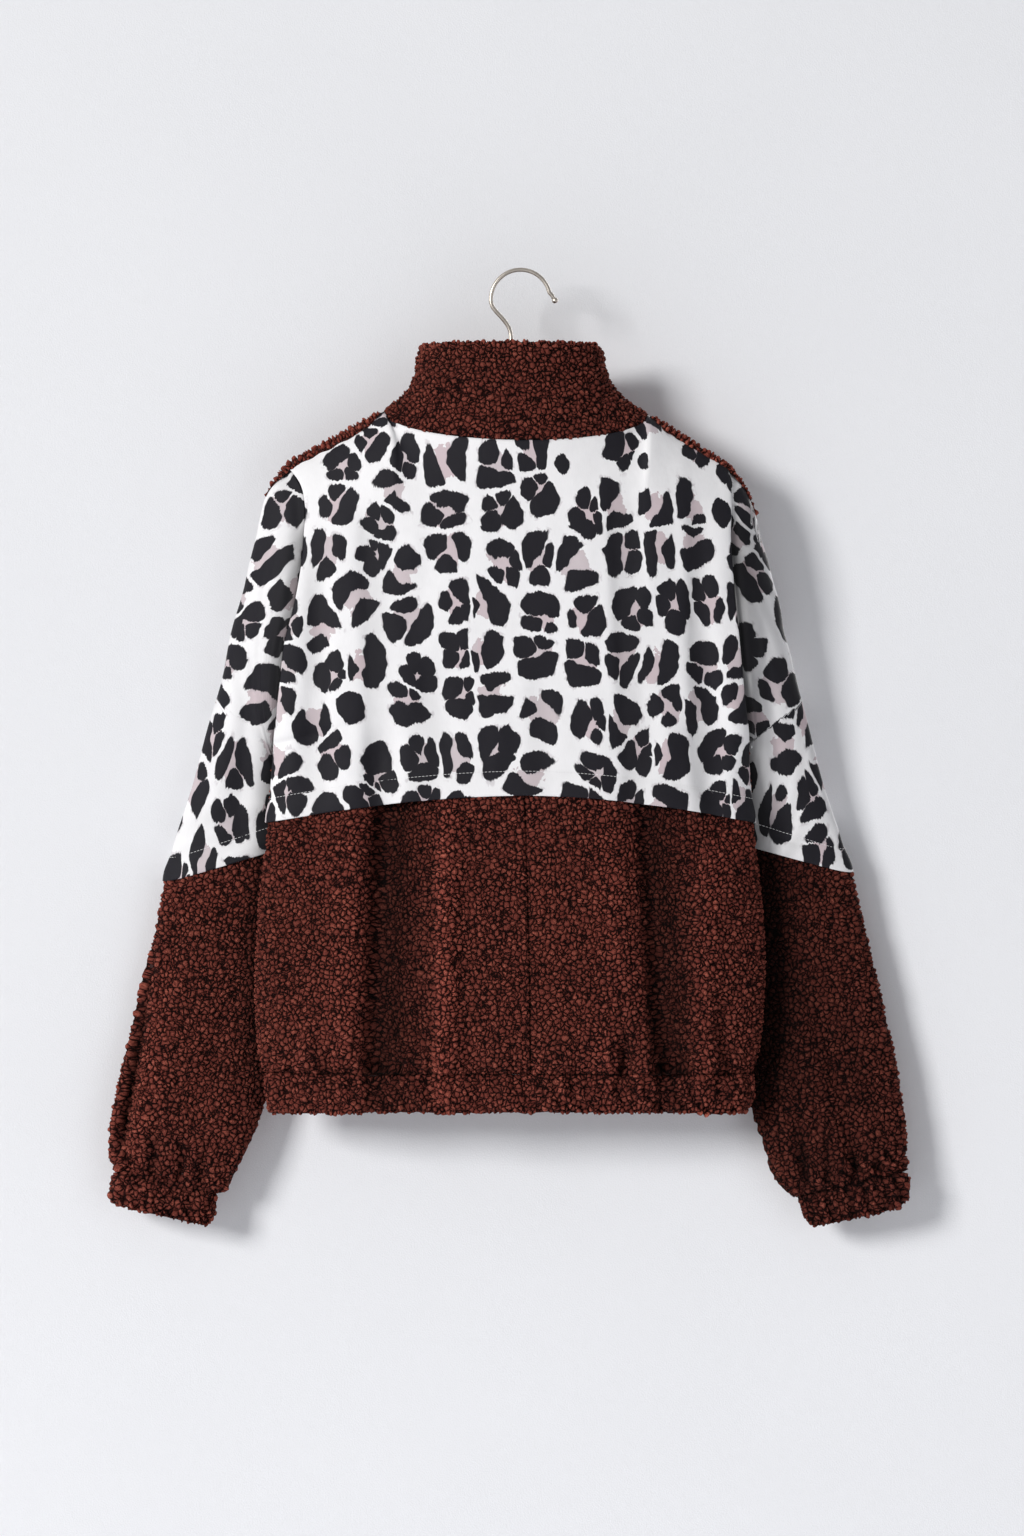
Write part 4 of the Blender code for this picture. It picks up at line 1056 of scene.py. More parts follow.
@dataclass(frozen=True)
class PaintedWall(Finish):
    """Pale matt wall or floor behind the jacket, seen from its front only."""

    title: str = "pale_wall"
    colour: Colour = (0.835, 0.84, 0.865)
    see_through_back: bool = True

    def dress(self, bench: Bench, shader: Any) -> None:
        """Fine roller texture, and nothing from behind."""
        place = bench.object_place()
        tone = bench.scaled(bench.noise(place, 3, 3), 0.05, 0.975)
        colour = bench.vector("SCALE", self.colour, tone)
        bench.feed(shader, {"Base Color": colour, "Roughness": 0.95, "Specular IOR Level": 0.1})
        self.bump(bench, shader, bench.noise(place, 700, 3), 0.0008, 0.35)
        if self.see_through_back:
            clear = bench.node("ShaderNodeBsdfTransparent").outputs[0]
            backing = bench.node("ShaderNodeNewGeometry").outputs["Backfacing"]
            mix = bench.node("ShaderNodeMixShader", {0: backing, 1: shader.outputs[0], 2: clear})
            bench.feed(bench.tree.nodes["Material Output"], {"Surface": mix.outputs[0]})


@cache
def weave_group() -> Any:
    """A plain weave's height over a flat place in metres."""
    inputs = [("Place", "NodeSocketVector", None), ("Pitch", "NodeSocketFloat", 0.0007)]
    group, bench, given, made = new_group(
        "ShaderNodeTree", "plain_weave", inputs, [("Height", "NodeSocketFloat")]
    )
    place = given.outputs["Place"]
    turns = bench.math("DIVIDE", math.pi, given.outputs["Pitch"])
    warp, weft, _ = bench.split(bench.vector("SCALE", place, turns))
    product = bench.times(bench.math("SINE", warp), bench.math("SINE", weft))
    height = bench.scaled(product, 0.5, 0.5)
    slub = bench.noise(bench.vector("MULTIPLY", place, (1, 0.08, 1)), 1400)
    bench.feed(made, {"Height": bench.scaled(slub, 0.6, bench.times(height, 0.7))})
    return group


@cache
def print_group(finish: PrintedWoven) -> Any:
    """The animal print over a flat place in metres: its colour, and where black ink lies.

    Each cell of a net holds one rosette: a rounded patch, cut into blobs by a few spokes and
    hollowed in the middle, where a mauve heart shows.
    """
    inputs = [
        ("Place", "NodeSocketVector", None),
        ("Rosette", "NodeSocketFloat", 0.0415),
        ("Spread", "NodeSocketFloat", 0.044),
        ("Rag", "NodeSocketFloat", 0.0050),
    ]
    outputs = [("Color", "NodeSocketColor"), ("Ink", "NodeSocketFloat")]
    group, bench, given, made = new_group("ShaderNodeTree", "animal_print", inputs, outputs)
    place = given.outputs["Place"]
    x, y, _ = bench.split(bench.wander(bench.wander(place, 14, 0.013), 75, 0.0065))
    tear = bench.minus(bench.noise(bench.join(x, bench.times(y, 0.30)), 520, 3), 0.5)
    torn = bench.join(x, bench.scaled(tear, given.outputs["Rag"], y))
    scale = bench.math("DIVIDE", 1, given.outputs["Rosette"])
    here = bench.vector("MULTIPLY", bench.vector("SCALE", torn, scale), (1.06, 0.90, 1))
    cell, beyond = bench.cells(here, "F1", 0.72), bench.cells(here, "F2", 0.72)
    for one in (cell, beyond):
        one.voronoi_dimensions = "2D"
    centre, distance = cell.outputs["Position"], cell.outputs["Distance"]
    dice_1, dice_2, dice_3 = bench.split(cell.outputs["Color"])
    _, _, dice_4 = bench.split(bench.dice(centre))
    way_x, way_y, _ = bench.split(bench.vector("SUBTRACT", here, centre))
    # 0 at the cell's middle and a half at its edge, whatever the cell's size
    border = bench.math("DIVIDE", distance, bench.plus(distance, beyond.outputs["Distance"]))
    # part of the plain distance rounds the blobs, which else take the cell's corners
    radius = bench.scaled(border, 0.62, bench.times(distance, 0.335))
    angle = bench.math("ARCTAN2", way_y, way_x)
    sway = bench.math("SINE", bench.scaled(dice_3, 6.3, angle))
    angle = bench.scaled(sway, 0.45, angle)
    # 1 to 4 blobs round the heart: the angle is folded into the blob's own sector
    count = bench.plus(bench.above(dice_1, 0.07), 1)
    for limit in (0.40, 0.80):
        count = bench.plus(count, bench.above(dice_1, limit))
    turned = bench.plus(bench.math("DIVIDE", angle, 2 * math.pi), dice_2)
    sector = bench.times(bench.math("FRACT", turned), count)
    index = bench.math("FLOOR", sector)
    offset = bench.minus(bench.minus(sector, index), 0.5)
    local = bench.math("DIVIDE", bench.times(offset, 2 * math.pi), count)
    apart = bench.vector("ADD", centre, bench.join(index, count, index))
    dice_5, dice_6, dice_7 = bench.split(bench.dice(apart))
    many = bench.above(count, 1.5)
    ring = bench.times(bench.scaled(dice_6, 0.04, 0.250), many)
    across = bench.minus(bench.times(radius, bench.math("COSINE", local)), ring)
    along = bench.times(radius, bench.math("SINE", local))
    share = bench.scaled(dice_5, 0.22, 0.90)
    share = bench.times(share, bench.step(dice_7, 0.08, 0.11, (0.62, 1)))
    thick = bench.times(share, bench.scaled(many, -0.11, 0.25))
    wide = bench.math("DIVIDE", 0.74, bench.plus(count, 0.2))
    wide = bench.times(share, bench.scaled(many, wide, 0))
    wide = bench.math("MAXIMUM", wide, bench.times(thick, 0.9))
    squashed = bench.join(bench.math("DIVIDE", across, thick), bench.math("DIVIDE", along, wide))
    oval = bench.times(bench.minus(1, bench.vector("LENGTH", squashed)), thick)
    uneven = bench.scaled(bench.noise(torn, 60, 1), 0.12, -0.06)
    blob = bench.plus(oval, bench.plus(uneven, given.outputs["Spread"]))
    blob = bench.math("SMOOTH_MIN", blob, bench.minus(0.458, border), 0.09)
    ink = bench.step(blob, -0.007, 0.007)
    stain_reach = bench.scaled(bench.noise(torn, 110, 2), 0.42, 0.09)
    stain = bench.times(bench.math("LESS_THAN", radius, stain_reach), many)
    tint = bench.blend(bench.times(dice_4, 0.6), finish.mauve, finish.grey)
    ground = bench.blend(stain, finish.white, tint)
    spotty = bench.step(bench.noise(torn, 170, 2), 0.46, 0.60)
    halo = bench.times(bench.step(blob, -0.036, -0.012), spotty)
    ground = bench.blend(bench.times(halo, 0.42), ground, finish.fringe)
    wash = bench.scaled(bench.noise(place, 70, 2), 0.05, 0.975)
    colour = bench.vector("SCALE", bench.blend(ink, ground, finish.ink), wash)
    bench.feed(made, {"Color": colour, "Ink": ink})
    return group


# ---------------------------------------------------------------- cloth shells


@dataclass
class Patch:
    """A panel's points on the garment surface, as seen from outside: rows down, columns right."""

    points: Array
    closed: bool = False

    def __post_init__(self) -> None:
        """Works out the directions outwards and the distances from each edge."""
        p = self.points
        if self.closed:
            wide = np.concatenate([p[:, -1:], p, p[:, :1]], axis=1)
            right = (wide[:, 2:] - wide[:, :-2]) / 2
        else:
            right = np.gradient(p, axis=1)
        down = np.gradient(p, axis=0)
        self.normals = unit(np.cross(unit(down), unit(right)))
        rows = np.linalg.norm(np.diff(p, axis=0), axis=-1)
        self.from_top = np.concatenate([np.zeros((1, p.shape[1])), np.cumsum(rows, axis=0)])
        self.from_bottom = self.from_top[-1:] - self.from_top
        columns = np.linalg.norm(np.diff(p, axis=1), axis=-1)
        zero = np.zeros((p.shape[0], 1))
        self.from_left = np.concatenate([zero, np.cumsum(columns, axis=1)], axis=1)
        self.from_right = self.from_left[:, -1:] - self.from_left

    def area(self) -> float:
        """The patch's own area in square metres."""
        p = self.points
        if self.closed:
            p = np.concatenate([p, p[:, :1]], axis=1)
        a = np.linalg.norm(np.cross(p[1:, 1:] - p[:-1, :-1], p[1:, :-1] - p[:-1, 1:]), axis=-1)
        return float(a.sum() / 2 * MM * MM)


def rounding(distance: Array, radius: float, fall: float) -> Array:
    """How far a face falls back near an edge, as a quarter round."""
    s = np.clip(1 - distance / radius, 0, 1)
    return fall * (1 - np.sqrt(np.clip(1 - s * s, 0, 1)))


@dataclass
class Shell:
    """A closed piece of cloth over a patch, with an outside, an inside and rims.

    Offsets are in millimetres along the directions outwards; the naps say how much pile stands
    on each point, from 0 to 1.
    """

    name: str
    patch: Patch
    outside: Array
    inside: Array
    nap_outside: Array | None = None
    nap_inside: Array | None = None
    # tone is painted shade where it is below 0 and painted light where it is above 0
    tone: Array | None = None
    uv: Array | None = None
    wrap: Array | None = None
    keep: int = 3
    keep_rows: tuple[int, ...] = ()

    def build(self) -> bpy.types.Object:
        """Makes the mesh object, with the cloth's rest place, the nap and the print's map.

        Returns:
            The new object. Faces of the inside carry the attribute inner_face.
        """
        p, n = self.patch.points, self.patch.normals
        rows, columns = p.shape[:2]
        if self.tone is not None:
            self.tone = np.clip(self.tone, -0.88, 0.8)
        outer = p + n * self.outside[..., None]
        inner = p + n * self.inside[..., None]
        kept_r = sorted({*range(0, rows, self.keep), rows - 1, *(r % rows for r in self.keep_rows)})
        kept_c = list(range(0, columns, self.keep))
        if not self.patch.closed and kept_c[-1] != columns - 1:
            kept_c.append(columns - 1)
        small = inner[np.ix_(kept_r, kept_c)]
        points = np.concatenate([outer.reshape(-1, 3), small.reshape(-1, 3)])
        faces, inner_from = self.faces(rows, columns, kept_r, kept_c)
        mesh = new_mesh(self.name, points, [], faces)
        rest = np.concatenate([p.reshape(-1, 3), (p - n * 4)[np.ix_(kept_r, kept_c)].reshape(-1, 3)])
        self.attribute(mesh, "cloth_rest", "FLOAT_VECTOR", (rest * MM).ravel())
        zero = np.zeros((rows, columns))
        nap_out = zero if self.nap_outside is None else self.nap_outside
        nap_in = zero if self.nap_inside is None else self.nap_inside
        nap = np.concatenate([nap_out.ravel(), nap_in[np.ix_(kept_r, kept_c)].ravel()])
        self.attribute(mesh, "nap", "FLOAT", nap)
        # the tone attribute carries the painted shade and painted light to the materials
        if self.tone is not None:
            tone = np.concatenate([self.tone.ravel(), np.zeros(small.shape[0] * small.shape[1])])
            self.attribute(mesh, "cloth_tone", "FLOAT", tone)
        flags = np.zeros(len(faces), bool)
        flags[slice(*inner_from)] = True
        marked = mesh.attributes.new("inner_face", "BOOLEAN", "FACE")
        marked.data.foreach_set("value", flags)
        if self.uv is not None:
            self.map_print(mesh, columns, kept_r, kept_c)
        mesh.shade_smooth()
        return new_object(self.name, mesh)

    @staticmethod
    def attribute(mesh: bpy.types.Mesh, name: str, kind: str, values: Array) -> None:
        """Stores values on a mesh's points."""
        made = mesh.attributes.new(name, kind, "POINT")
        made.data.foreach_set("vector" if kind == "FLOAT_VECTOR" else "value", values)

    def map_print(self, mesh: bpy.types.Mesh, columns: int, kept_r: list[int], kept_c: list[int]) -> None:
        """Gives the mesh its flat map in metres, whole across a closed patch's join."""
        flat = np.concatenate([self.uv.reshape(-1, 2), self.uv[np.ix_(kept_r, kept_c)].reshape(-1, 2)])
        layer = mesh.uv_layers.new(name="cloth")
        index = np.zeros(len(mesh.loops), int)
        mesh.loops.foreach_get("vertex_index", index)
        values = flat[index].copy()
        if self.patch.closed:
            small = np.repeat(self.wrap[kept_r], len(kept_c))
            whole = np.concatenate([np.repeat(self.wrap, columns), small])
            start = np.zeros(len(mesh.polygons), int)
            total = np.zeros(len(mesh.polygons), int)
            mesh.polygons.foreach_get("loop_start", start)
            mesh.polygons.foreach_get("loop_total", total)
            owner = np.repeat(np.arange(len(start)), total)
            high = np.full(len(start), -1e9)
            np.maximum.at(high, owner, values[:, 0])
            behind = values[:, 0] < high[owner] - whole[index] / 2
            values[behind, 0] += whole[index][behind]
        layer.data.foreach_set("uv", values.ravel())

    def faces(self, rows: int, columns: int, kept_r: list[int],
              kept_c: list[int]) -> tuple[list[tuple[int, ...]], tuple[int, int]]:
        """The outside's quads, the inside's, and rims that join the two steps of grid."""
        closed = self.patch.closed
        count, wide = rows * columns, len(kept_c)
        made = quads(rows, columns, closed)
        first_inner = len(made)
        made += quads(len(kept_r), wide, closed, count, flip=True)
        end_inner = len(made)
        low, base, end = (len(kept_r) - 1) * wide, (rows - 1) * columns, columns - 1
        for i in range(wide if closed else wide - 1):
            j = (i + 1) % wide
            stop = kept_c[j] if kept_c[j] > kept_c[i] else columns
            run = [k % columns for k in range(kept_c[i], stop + 1)]
            made.append((count + j, count + i, *run))
            made.append((count + low + i, count + low + j, *[base + k for k in reversed(run)]))
        for i in range(0 if closed else len(kept_r) - 1):
            run = range(kept_r[i], kept_r[i + 1] + 1)
            top, foot = count + i * wide, count + (i + 1) * wide
            made.append((top, foot, *[k * columns for k in reversed(run)]))
            made.append((foot + wide - 1, top + wide - 1, *[k * columns + end for k in run]))
        return made, (first_inner, end_inner)


class GeometryTree:
    """A geometry node group with named inputs, put on a piece and made plain."""

    def __init__(self, name: str, floats: Mapping[str, float]) -> None:
        """Starts the group with its geometry in and out, some numbers and a material."""
        numbers = [(label, "NodeSocketFloat", value) for label, value in floats.items()]
        geometry, material = ("Geometry", "NodeSocketGeometry"), ("Material", "NodeSocketMaterial")
        self.group, self.bench, self.given, self.made = new_group(
            "GeometryNodeTree", name, [(*geometry, None), *numbers, (*material, None)], [geometry]
        )

    def close(self, geometry: Any, material: Any) -> None:
        """Ends the tree in realised instances and a material."""
        real = self.bench.node("GeometryNodeRealizeInstances", {0: geometry})
        painted = self.bench.node("GeometryNodeSetMaterial", {0: real.outputs[0], 2: material})
        self.bench.link(painted.outputs[0], self.made.inputs[0])

    def apply(self, piece: bpy.types.Object, values: Mapping[str, Any]) -> bpy.types.Object:
        """Runs the tree on a piece and leaves a plain mesh.

        Args:
            piece: the object that the tree starts from.
            values: the named inputs.

        Returns:
            The same object with its new mesh and no modifier.
        """
        change = piece.modifiers.new(self.group.name, "NODES")
        change.node_group = self.group
        for item in self.group.interface.items_tree:
            if item.item_type == "SOCKET" and item.in_out == "INPUT" and item.name in values:
                change[item.identifier] = values[item.name]
        bpy.context.view_layer.update()
        graph = bpy.context.evaluated_depsgraph_get()
        mesh = bpy.data.meshes.new_from_object(piece.evaluated_get(graph), depsgraph=graph)
        piece.modifiers.remove(change)
        old = piece.data
        piece.data = mesh
        mesh.name = piece.name
        if isinstance(old, bpy.types.Mesh):
            bpy.data.meshes.remove(old)
        return piece


class NapTree(GeometryTree):
    """Raises the pile's curls on a fleece shell."""

    def __init__(self) -> None:
        """Builds the tree: curls along the normals, by the nap of each point."""
        super().__init__("fleece_nap", {"Curl Size": 0.0046, "Curl Height": 0.0030, "Wander": 0.85})
        bench, given = self.bench, self.given.outputs
        rest, nap = bench.named("cloth_rest", "FLOAT_VECTOR"), bench.named("nap", "FLOAT")
        height, _ = curl_height(bench, rest, given["Curl Size"], given["Wander"])
        stand = bench.times(bench.times(bench.minus(height, 0.45), given["Curl Height"]), nap)
        offset = bench.vector("SCALE", bench.node("GeometryNodeInputNormal").outputs[0], stand)
        moved = bench.node("GeometryNodeSetPosition", {"Geometry": given["Geometry"], "Offset": offset})
        self.close(moved.outputs[0], given["Material"])


class LineTree(GeometryTree):
    """Sets a thing at each step of a line whose points carry the cloth's direction outwards."""

    def repeat(self, thing: Any, pitch: Any, size: Sequence[Any]) -> None:
        """Ends the tree in the repeated thing.

        Args:
            thing: the geometry socket of the thing, of about unit size.
            pitch: the step along the line.
            size: its scale along the line, across it and outwards.
        """
        bench, given = self.bench, self.given.outputs
        line = bench.node("GeometryNodeMeshToCurve", {0: given["Geometry"]})
        inputs = {"Curve": line.outputs[0], "Length": pitch}
        even = bench.node("GeometryNodeResampleCurve", inputs, mode="LENGTH")
        outward = bench.named("outward", "FLOAT_VECTOR")
        turn = bench.node("GeometryNodeInputTangent").outputs[0]
        turn = bench.node("FunctionNodeAlignRotationToVector", {"Vector": turn}, axis="X")
        inputs = {"Rotation": turn.outputs[0], "Vector": outward}
        turn = bench.node("FunctionNodeAlignRotationToVector", inputs, axis="Z", pivot_axis="X")
        inputs = {
            "Points": even.outputs[0], "Instance": thing,
            "Rotation": turn.outputs[0], "Scale": bench.join(*size),
        }
        placed = bench.node("GeometryNodeInstanceOnPoints", inputs)
        self.close(placed.outputs[0], given["Material"])


class StitchTree(LineTree):
    """Lays thread stitches along a line."""

    def __init__(self) -> None:
        """Builds the tree: a short rounded thread on each step of the line."""
        floats = {"Stitch Length": 0.0026, "Stitch Gap": 0.0007, "Thread Radius": 0.00022}
        super().__init__("topstitching", floats)
        bench, given = self.bench, self.given.outputs
        pitch = bench.plus(given["Stitch Length"], given["Stitch Gap"])
        ball = bench.node("GeometryNodeMeshIcoSphere", {"Radius": 1, "Subdivisions": 2})
        half, thick = bench.times(given["Stitch Length"], 0.5), given["Thread Radius"]
        self.repeat(ball.outputs[0], pitch, (half, thick, thick))


class ToothTree(LineTree):
    """Sets zip teeth along a line."""

    def __init__(self) -> None:
        """Builds the tree: a block with a smaller head on each step of the line."""
        super().__init__("zip_teeth", {"Pitch": 0.0024, "Width": 0.0036, "Thickness": 0.0024})
        bench, given = self.bench, self.given.outputs
        body = bench.node("GeometryNodeMeshCube", {"Size": (1, 1, 1)})
        head = bench.node("GeometryNodeMeshCube", {"Size": (0.62, 0.34, 1.12)})
        inputs = {"Geometry": head.outputs[0], "Translation": (0, -0.5, 0)}
        shifted = bench.node("GeometryNodeTransform", inputs)
        tooth = bench.node("GeometryNodeJoinGeometry")
        bench.link(body.outputs[0], tooth.inputs[0])
        bench.link(shifted.outputs[0], tooth.inputs[0])
        size = (bench.times(given["Pitch"], 0.52), given["Width"], given["Thickness"])
        self.repeat(tooth.outputs[0], given["Pitch"], size)


# ---------------------------------------------------------------- pieces


@dataclass
class Workshop:
    """What every sub-assembly needs: the surfaces, the trees and the finishes."""

    torso: TorsoShape
    collar: CollarShape
    sleeves: SleeveShape
    nap: NapTree
    stitches: StitchTree
    teeth: ToothTree
    fleece: PileFleece = PileFleece()
    backing: KnitBacking = KnitBacking()
    printed: PrintedWoven = PrintedWoven()
    tape: ZipTape = ZipTape()
    thread: Thread = Thread()
    nickel: BrushedNickel = BrushedNickel()
    beech: Beech = Beech()

    def dress_fleece(self, shell: Shell) -> bpy.types.Object:
        """Builds a fleece shell, raises its pile and gives it both its materials."""
        piece = shell.build()
        fleece = self.fleece
        values = {"Curl Size": fleece.curl, "Wander": fleece.wander, "Material": fleece.material()}
        self.nap.apply(piece, values)
        piece.data.materials.append(self.backing.material())
        self.mark_inside(piece)
        return piece

    @staticmethod
    def mark_inside(piece: bpy.types.Object) -> None:
        """Gives the inside's faces the second material."""
        mesh = piece.data
        flags = np.zeros(len(mesh.polygons), bool)
        mesh.attributes["inner_face"].data.foreach_get("value", flags)
        mesh.polygons.foreach_set("material_index", flags.astype(np.int32))
        mesh.attributes.remove(mesh.attributes["inner_face"])
        mesh.shade_smooth()

    def dress_print(self, shell: Shell) -> bpy.types.Object:
        """Builds a shell of printed cloth, whose inside takes the same print."""
        piece = shell.build()
        for _ in range(2):
            piece.data.materials.append(self.printed.material())
        self.mark_inside(piece)
        return piece

    def settle(self, piece: bpy.types.Object, slot: str, *nodes: str, body: str = "jacket",
               finish: Finish | None = None) -> bpy.types.Object:
        """Rides a piece on its body and says which solids it stands for.

        Args:
            piece: the finished piece.
            slot: the record's material slot.
            nodes: the solids that it replaces.
            body: the body that carries it.
            finish: the finish of a piece that has no material yet.

        Returns:
            The piece.
        """
        if finish:
            piece.data.materials.append(finish.material())
        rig.ride(piece, body)
        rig.slot(piece, slot)
        if nodes:
            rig.replaces(piece, *nodes)
        triangles = sum(len(p.vertices) - 2 for p in piece.data.polygons)
        log.info("%s: %d triangles", piece.name, triangles)
        return piece

    def fleece_piece(self, shell: Shell, node: str, flat: tuple[float, float],
                     others: Sequence[bpy.types.Object] = (), gathered: float = 1) -> None:
        """Dresses, settles and declares a fleece piece.

        Args:
            shell: the piece's shell.
            node: the solid that it replaces.
            flat: the cut's largest width and length in metres.
            others: as in sheet_of.
            gathered: as in sheet_of.
        """
        piece = self.settle(self.dress_fleece(shell), "pile_fleece", node)
        sheet_of(piece, shell.patch, flat, others, gathered)

    def line_piece(self, name: str, points: Array, outward: Array) -> bpy.types.Object:
        """A bare line of points with the cloth's direction outwards on each."""
        mesh = new_mesh(name, points, [(i, i + 1) for i in range(len(points) - 1)], [])
        Shell.attribute(mesh, "outward", "FLOAT_VECTOR", outward.ravel())
        return new_object(name, mesh)

    def sew(self, name: str, points: Array, outward: Array) -> None:
        """A row of white topstitching along points of the cloth."""
        line = self.line_piece(name, points, outward)
        self.stitches.apply(line, {"Material": self.thread.material()})
        line.data.shade_smooth()
        self.settle(line, "printed_woven")


def sheet_of(piece: bpy.types.Object, patch: Patch, flat: tuple[float, float],
             others: Sequence[bpy.types.Object] = (), gathered: float = 1.0) -> None:
    """Declares a cloth piece with its flat cut.

    Args:
        piece: the finished piece.
        patch: the panel's own surface, whose area the cut had.
        flat: the cut's largest width and length in metres.
        others: separate pieces that belong to the same cut.
        gathered: how many times larger the cut is than the panel that elastic gathers it to.
    """
    width, length = flat
    area = round(min(patch.area() * gathered, width * length), 5)
    size = (round(width, 3), round(length, 3))
    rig.sheet(piece, flat=size, held="hung", area=area, with_pieces=list(others))


@dataclass(frozen=True)
class Crease:
    """A soft trough (positive depth) or ridge in a hanging panel, steeper on one side."""

    face: Face
    top_reach: float
    top_drop: float
    foot_reach: float
    foot_drop: float
    left_width: float
    right_width: float
    depth: float

    def profile(self, points: Array) -> Array:
        """The crease's share of its depth at each point, from 0 to 1."""
        reach, drop = points[..., 0], -points[..., 2]
        span = self.foot_drop - self.top_drop
        share = (drop - self.top_drop) / span
        middle = self.top_reach + (self.foot_reach - self.top_reach) * np.clip(share, 0, 1)
        off = reach - middle
        width = np.where(off < 0, self.left_width, self.right_width)
        window = eased((drop - self.top_drop) / 50) * eased((self.foot_drop - drop) / 14)
        return window * np.exp(-(np.abs(off / width) ** 2.4))

    @property
    def tone(self) -> float:
        """How much painted shade darkens the cloth along a trough, or painted light brightens it along a ridge."""
        return -math.copysign(min(0.085 * abs(self.depth), 0.68), self.depth)


def creases_at(creases: Sequence[Crease], patch: Patch) -> tuple[Array, Array]:
    """The sum of some creases over a patch: how far they move the cloth, and the painted shade and light along them.
    """
    moved = np.zeros(patch.points.shape[:2])
    tone = np.zeros_like(moved)
    for crease in creases:
        profile = crease.profile(patch.points)
        moved -= crease.depth * profile
        tone += crease.tone * profile
    return moved, np.maximum(tone, -0.75)


def zip_to_zip(strip: Callable[[Face, Hand, Array], Array], back: Array, front: Array) -> Patch:
    """A patch right round the garment, from zip to zip by way of the back.

    Args:
        strip: the grid of a quarter of the way, by its face, its hand and its columns.
        back: columns of half of the back.
        front: columns of a front.

    Returns:
        The patch.
    """
    quarters = (
        (FRONT, LEFT, front), (BACK, LEFT, back[::-1]), (BACK, RIGHT, back), (FRONT, RIGHT, front[::-1])
    )
    strips = [strip(*quarter) for quarter in quarters]
    return Patch(np.concatenate([strips[0], *(s[:, 1:] for s in strips[1:])], axis=1))


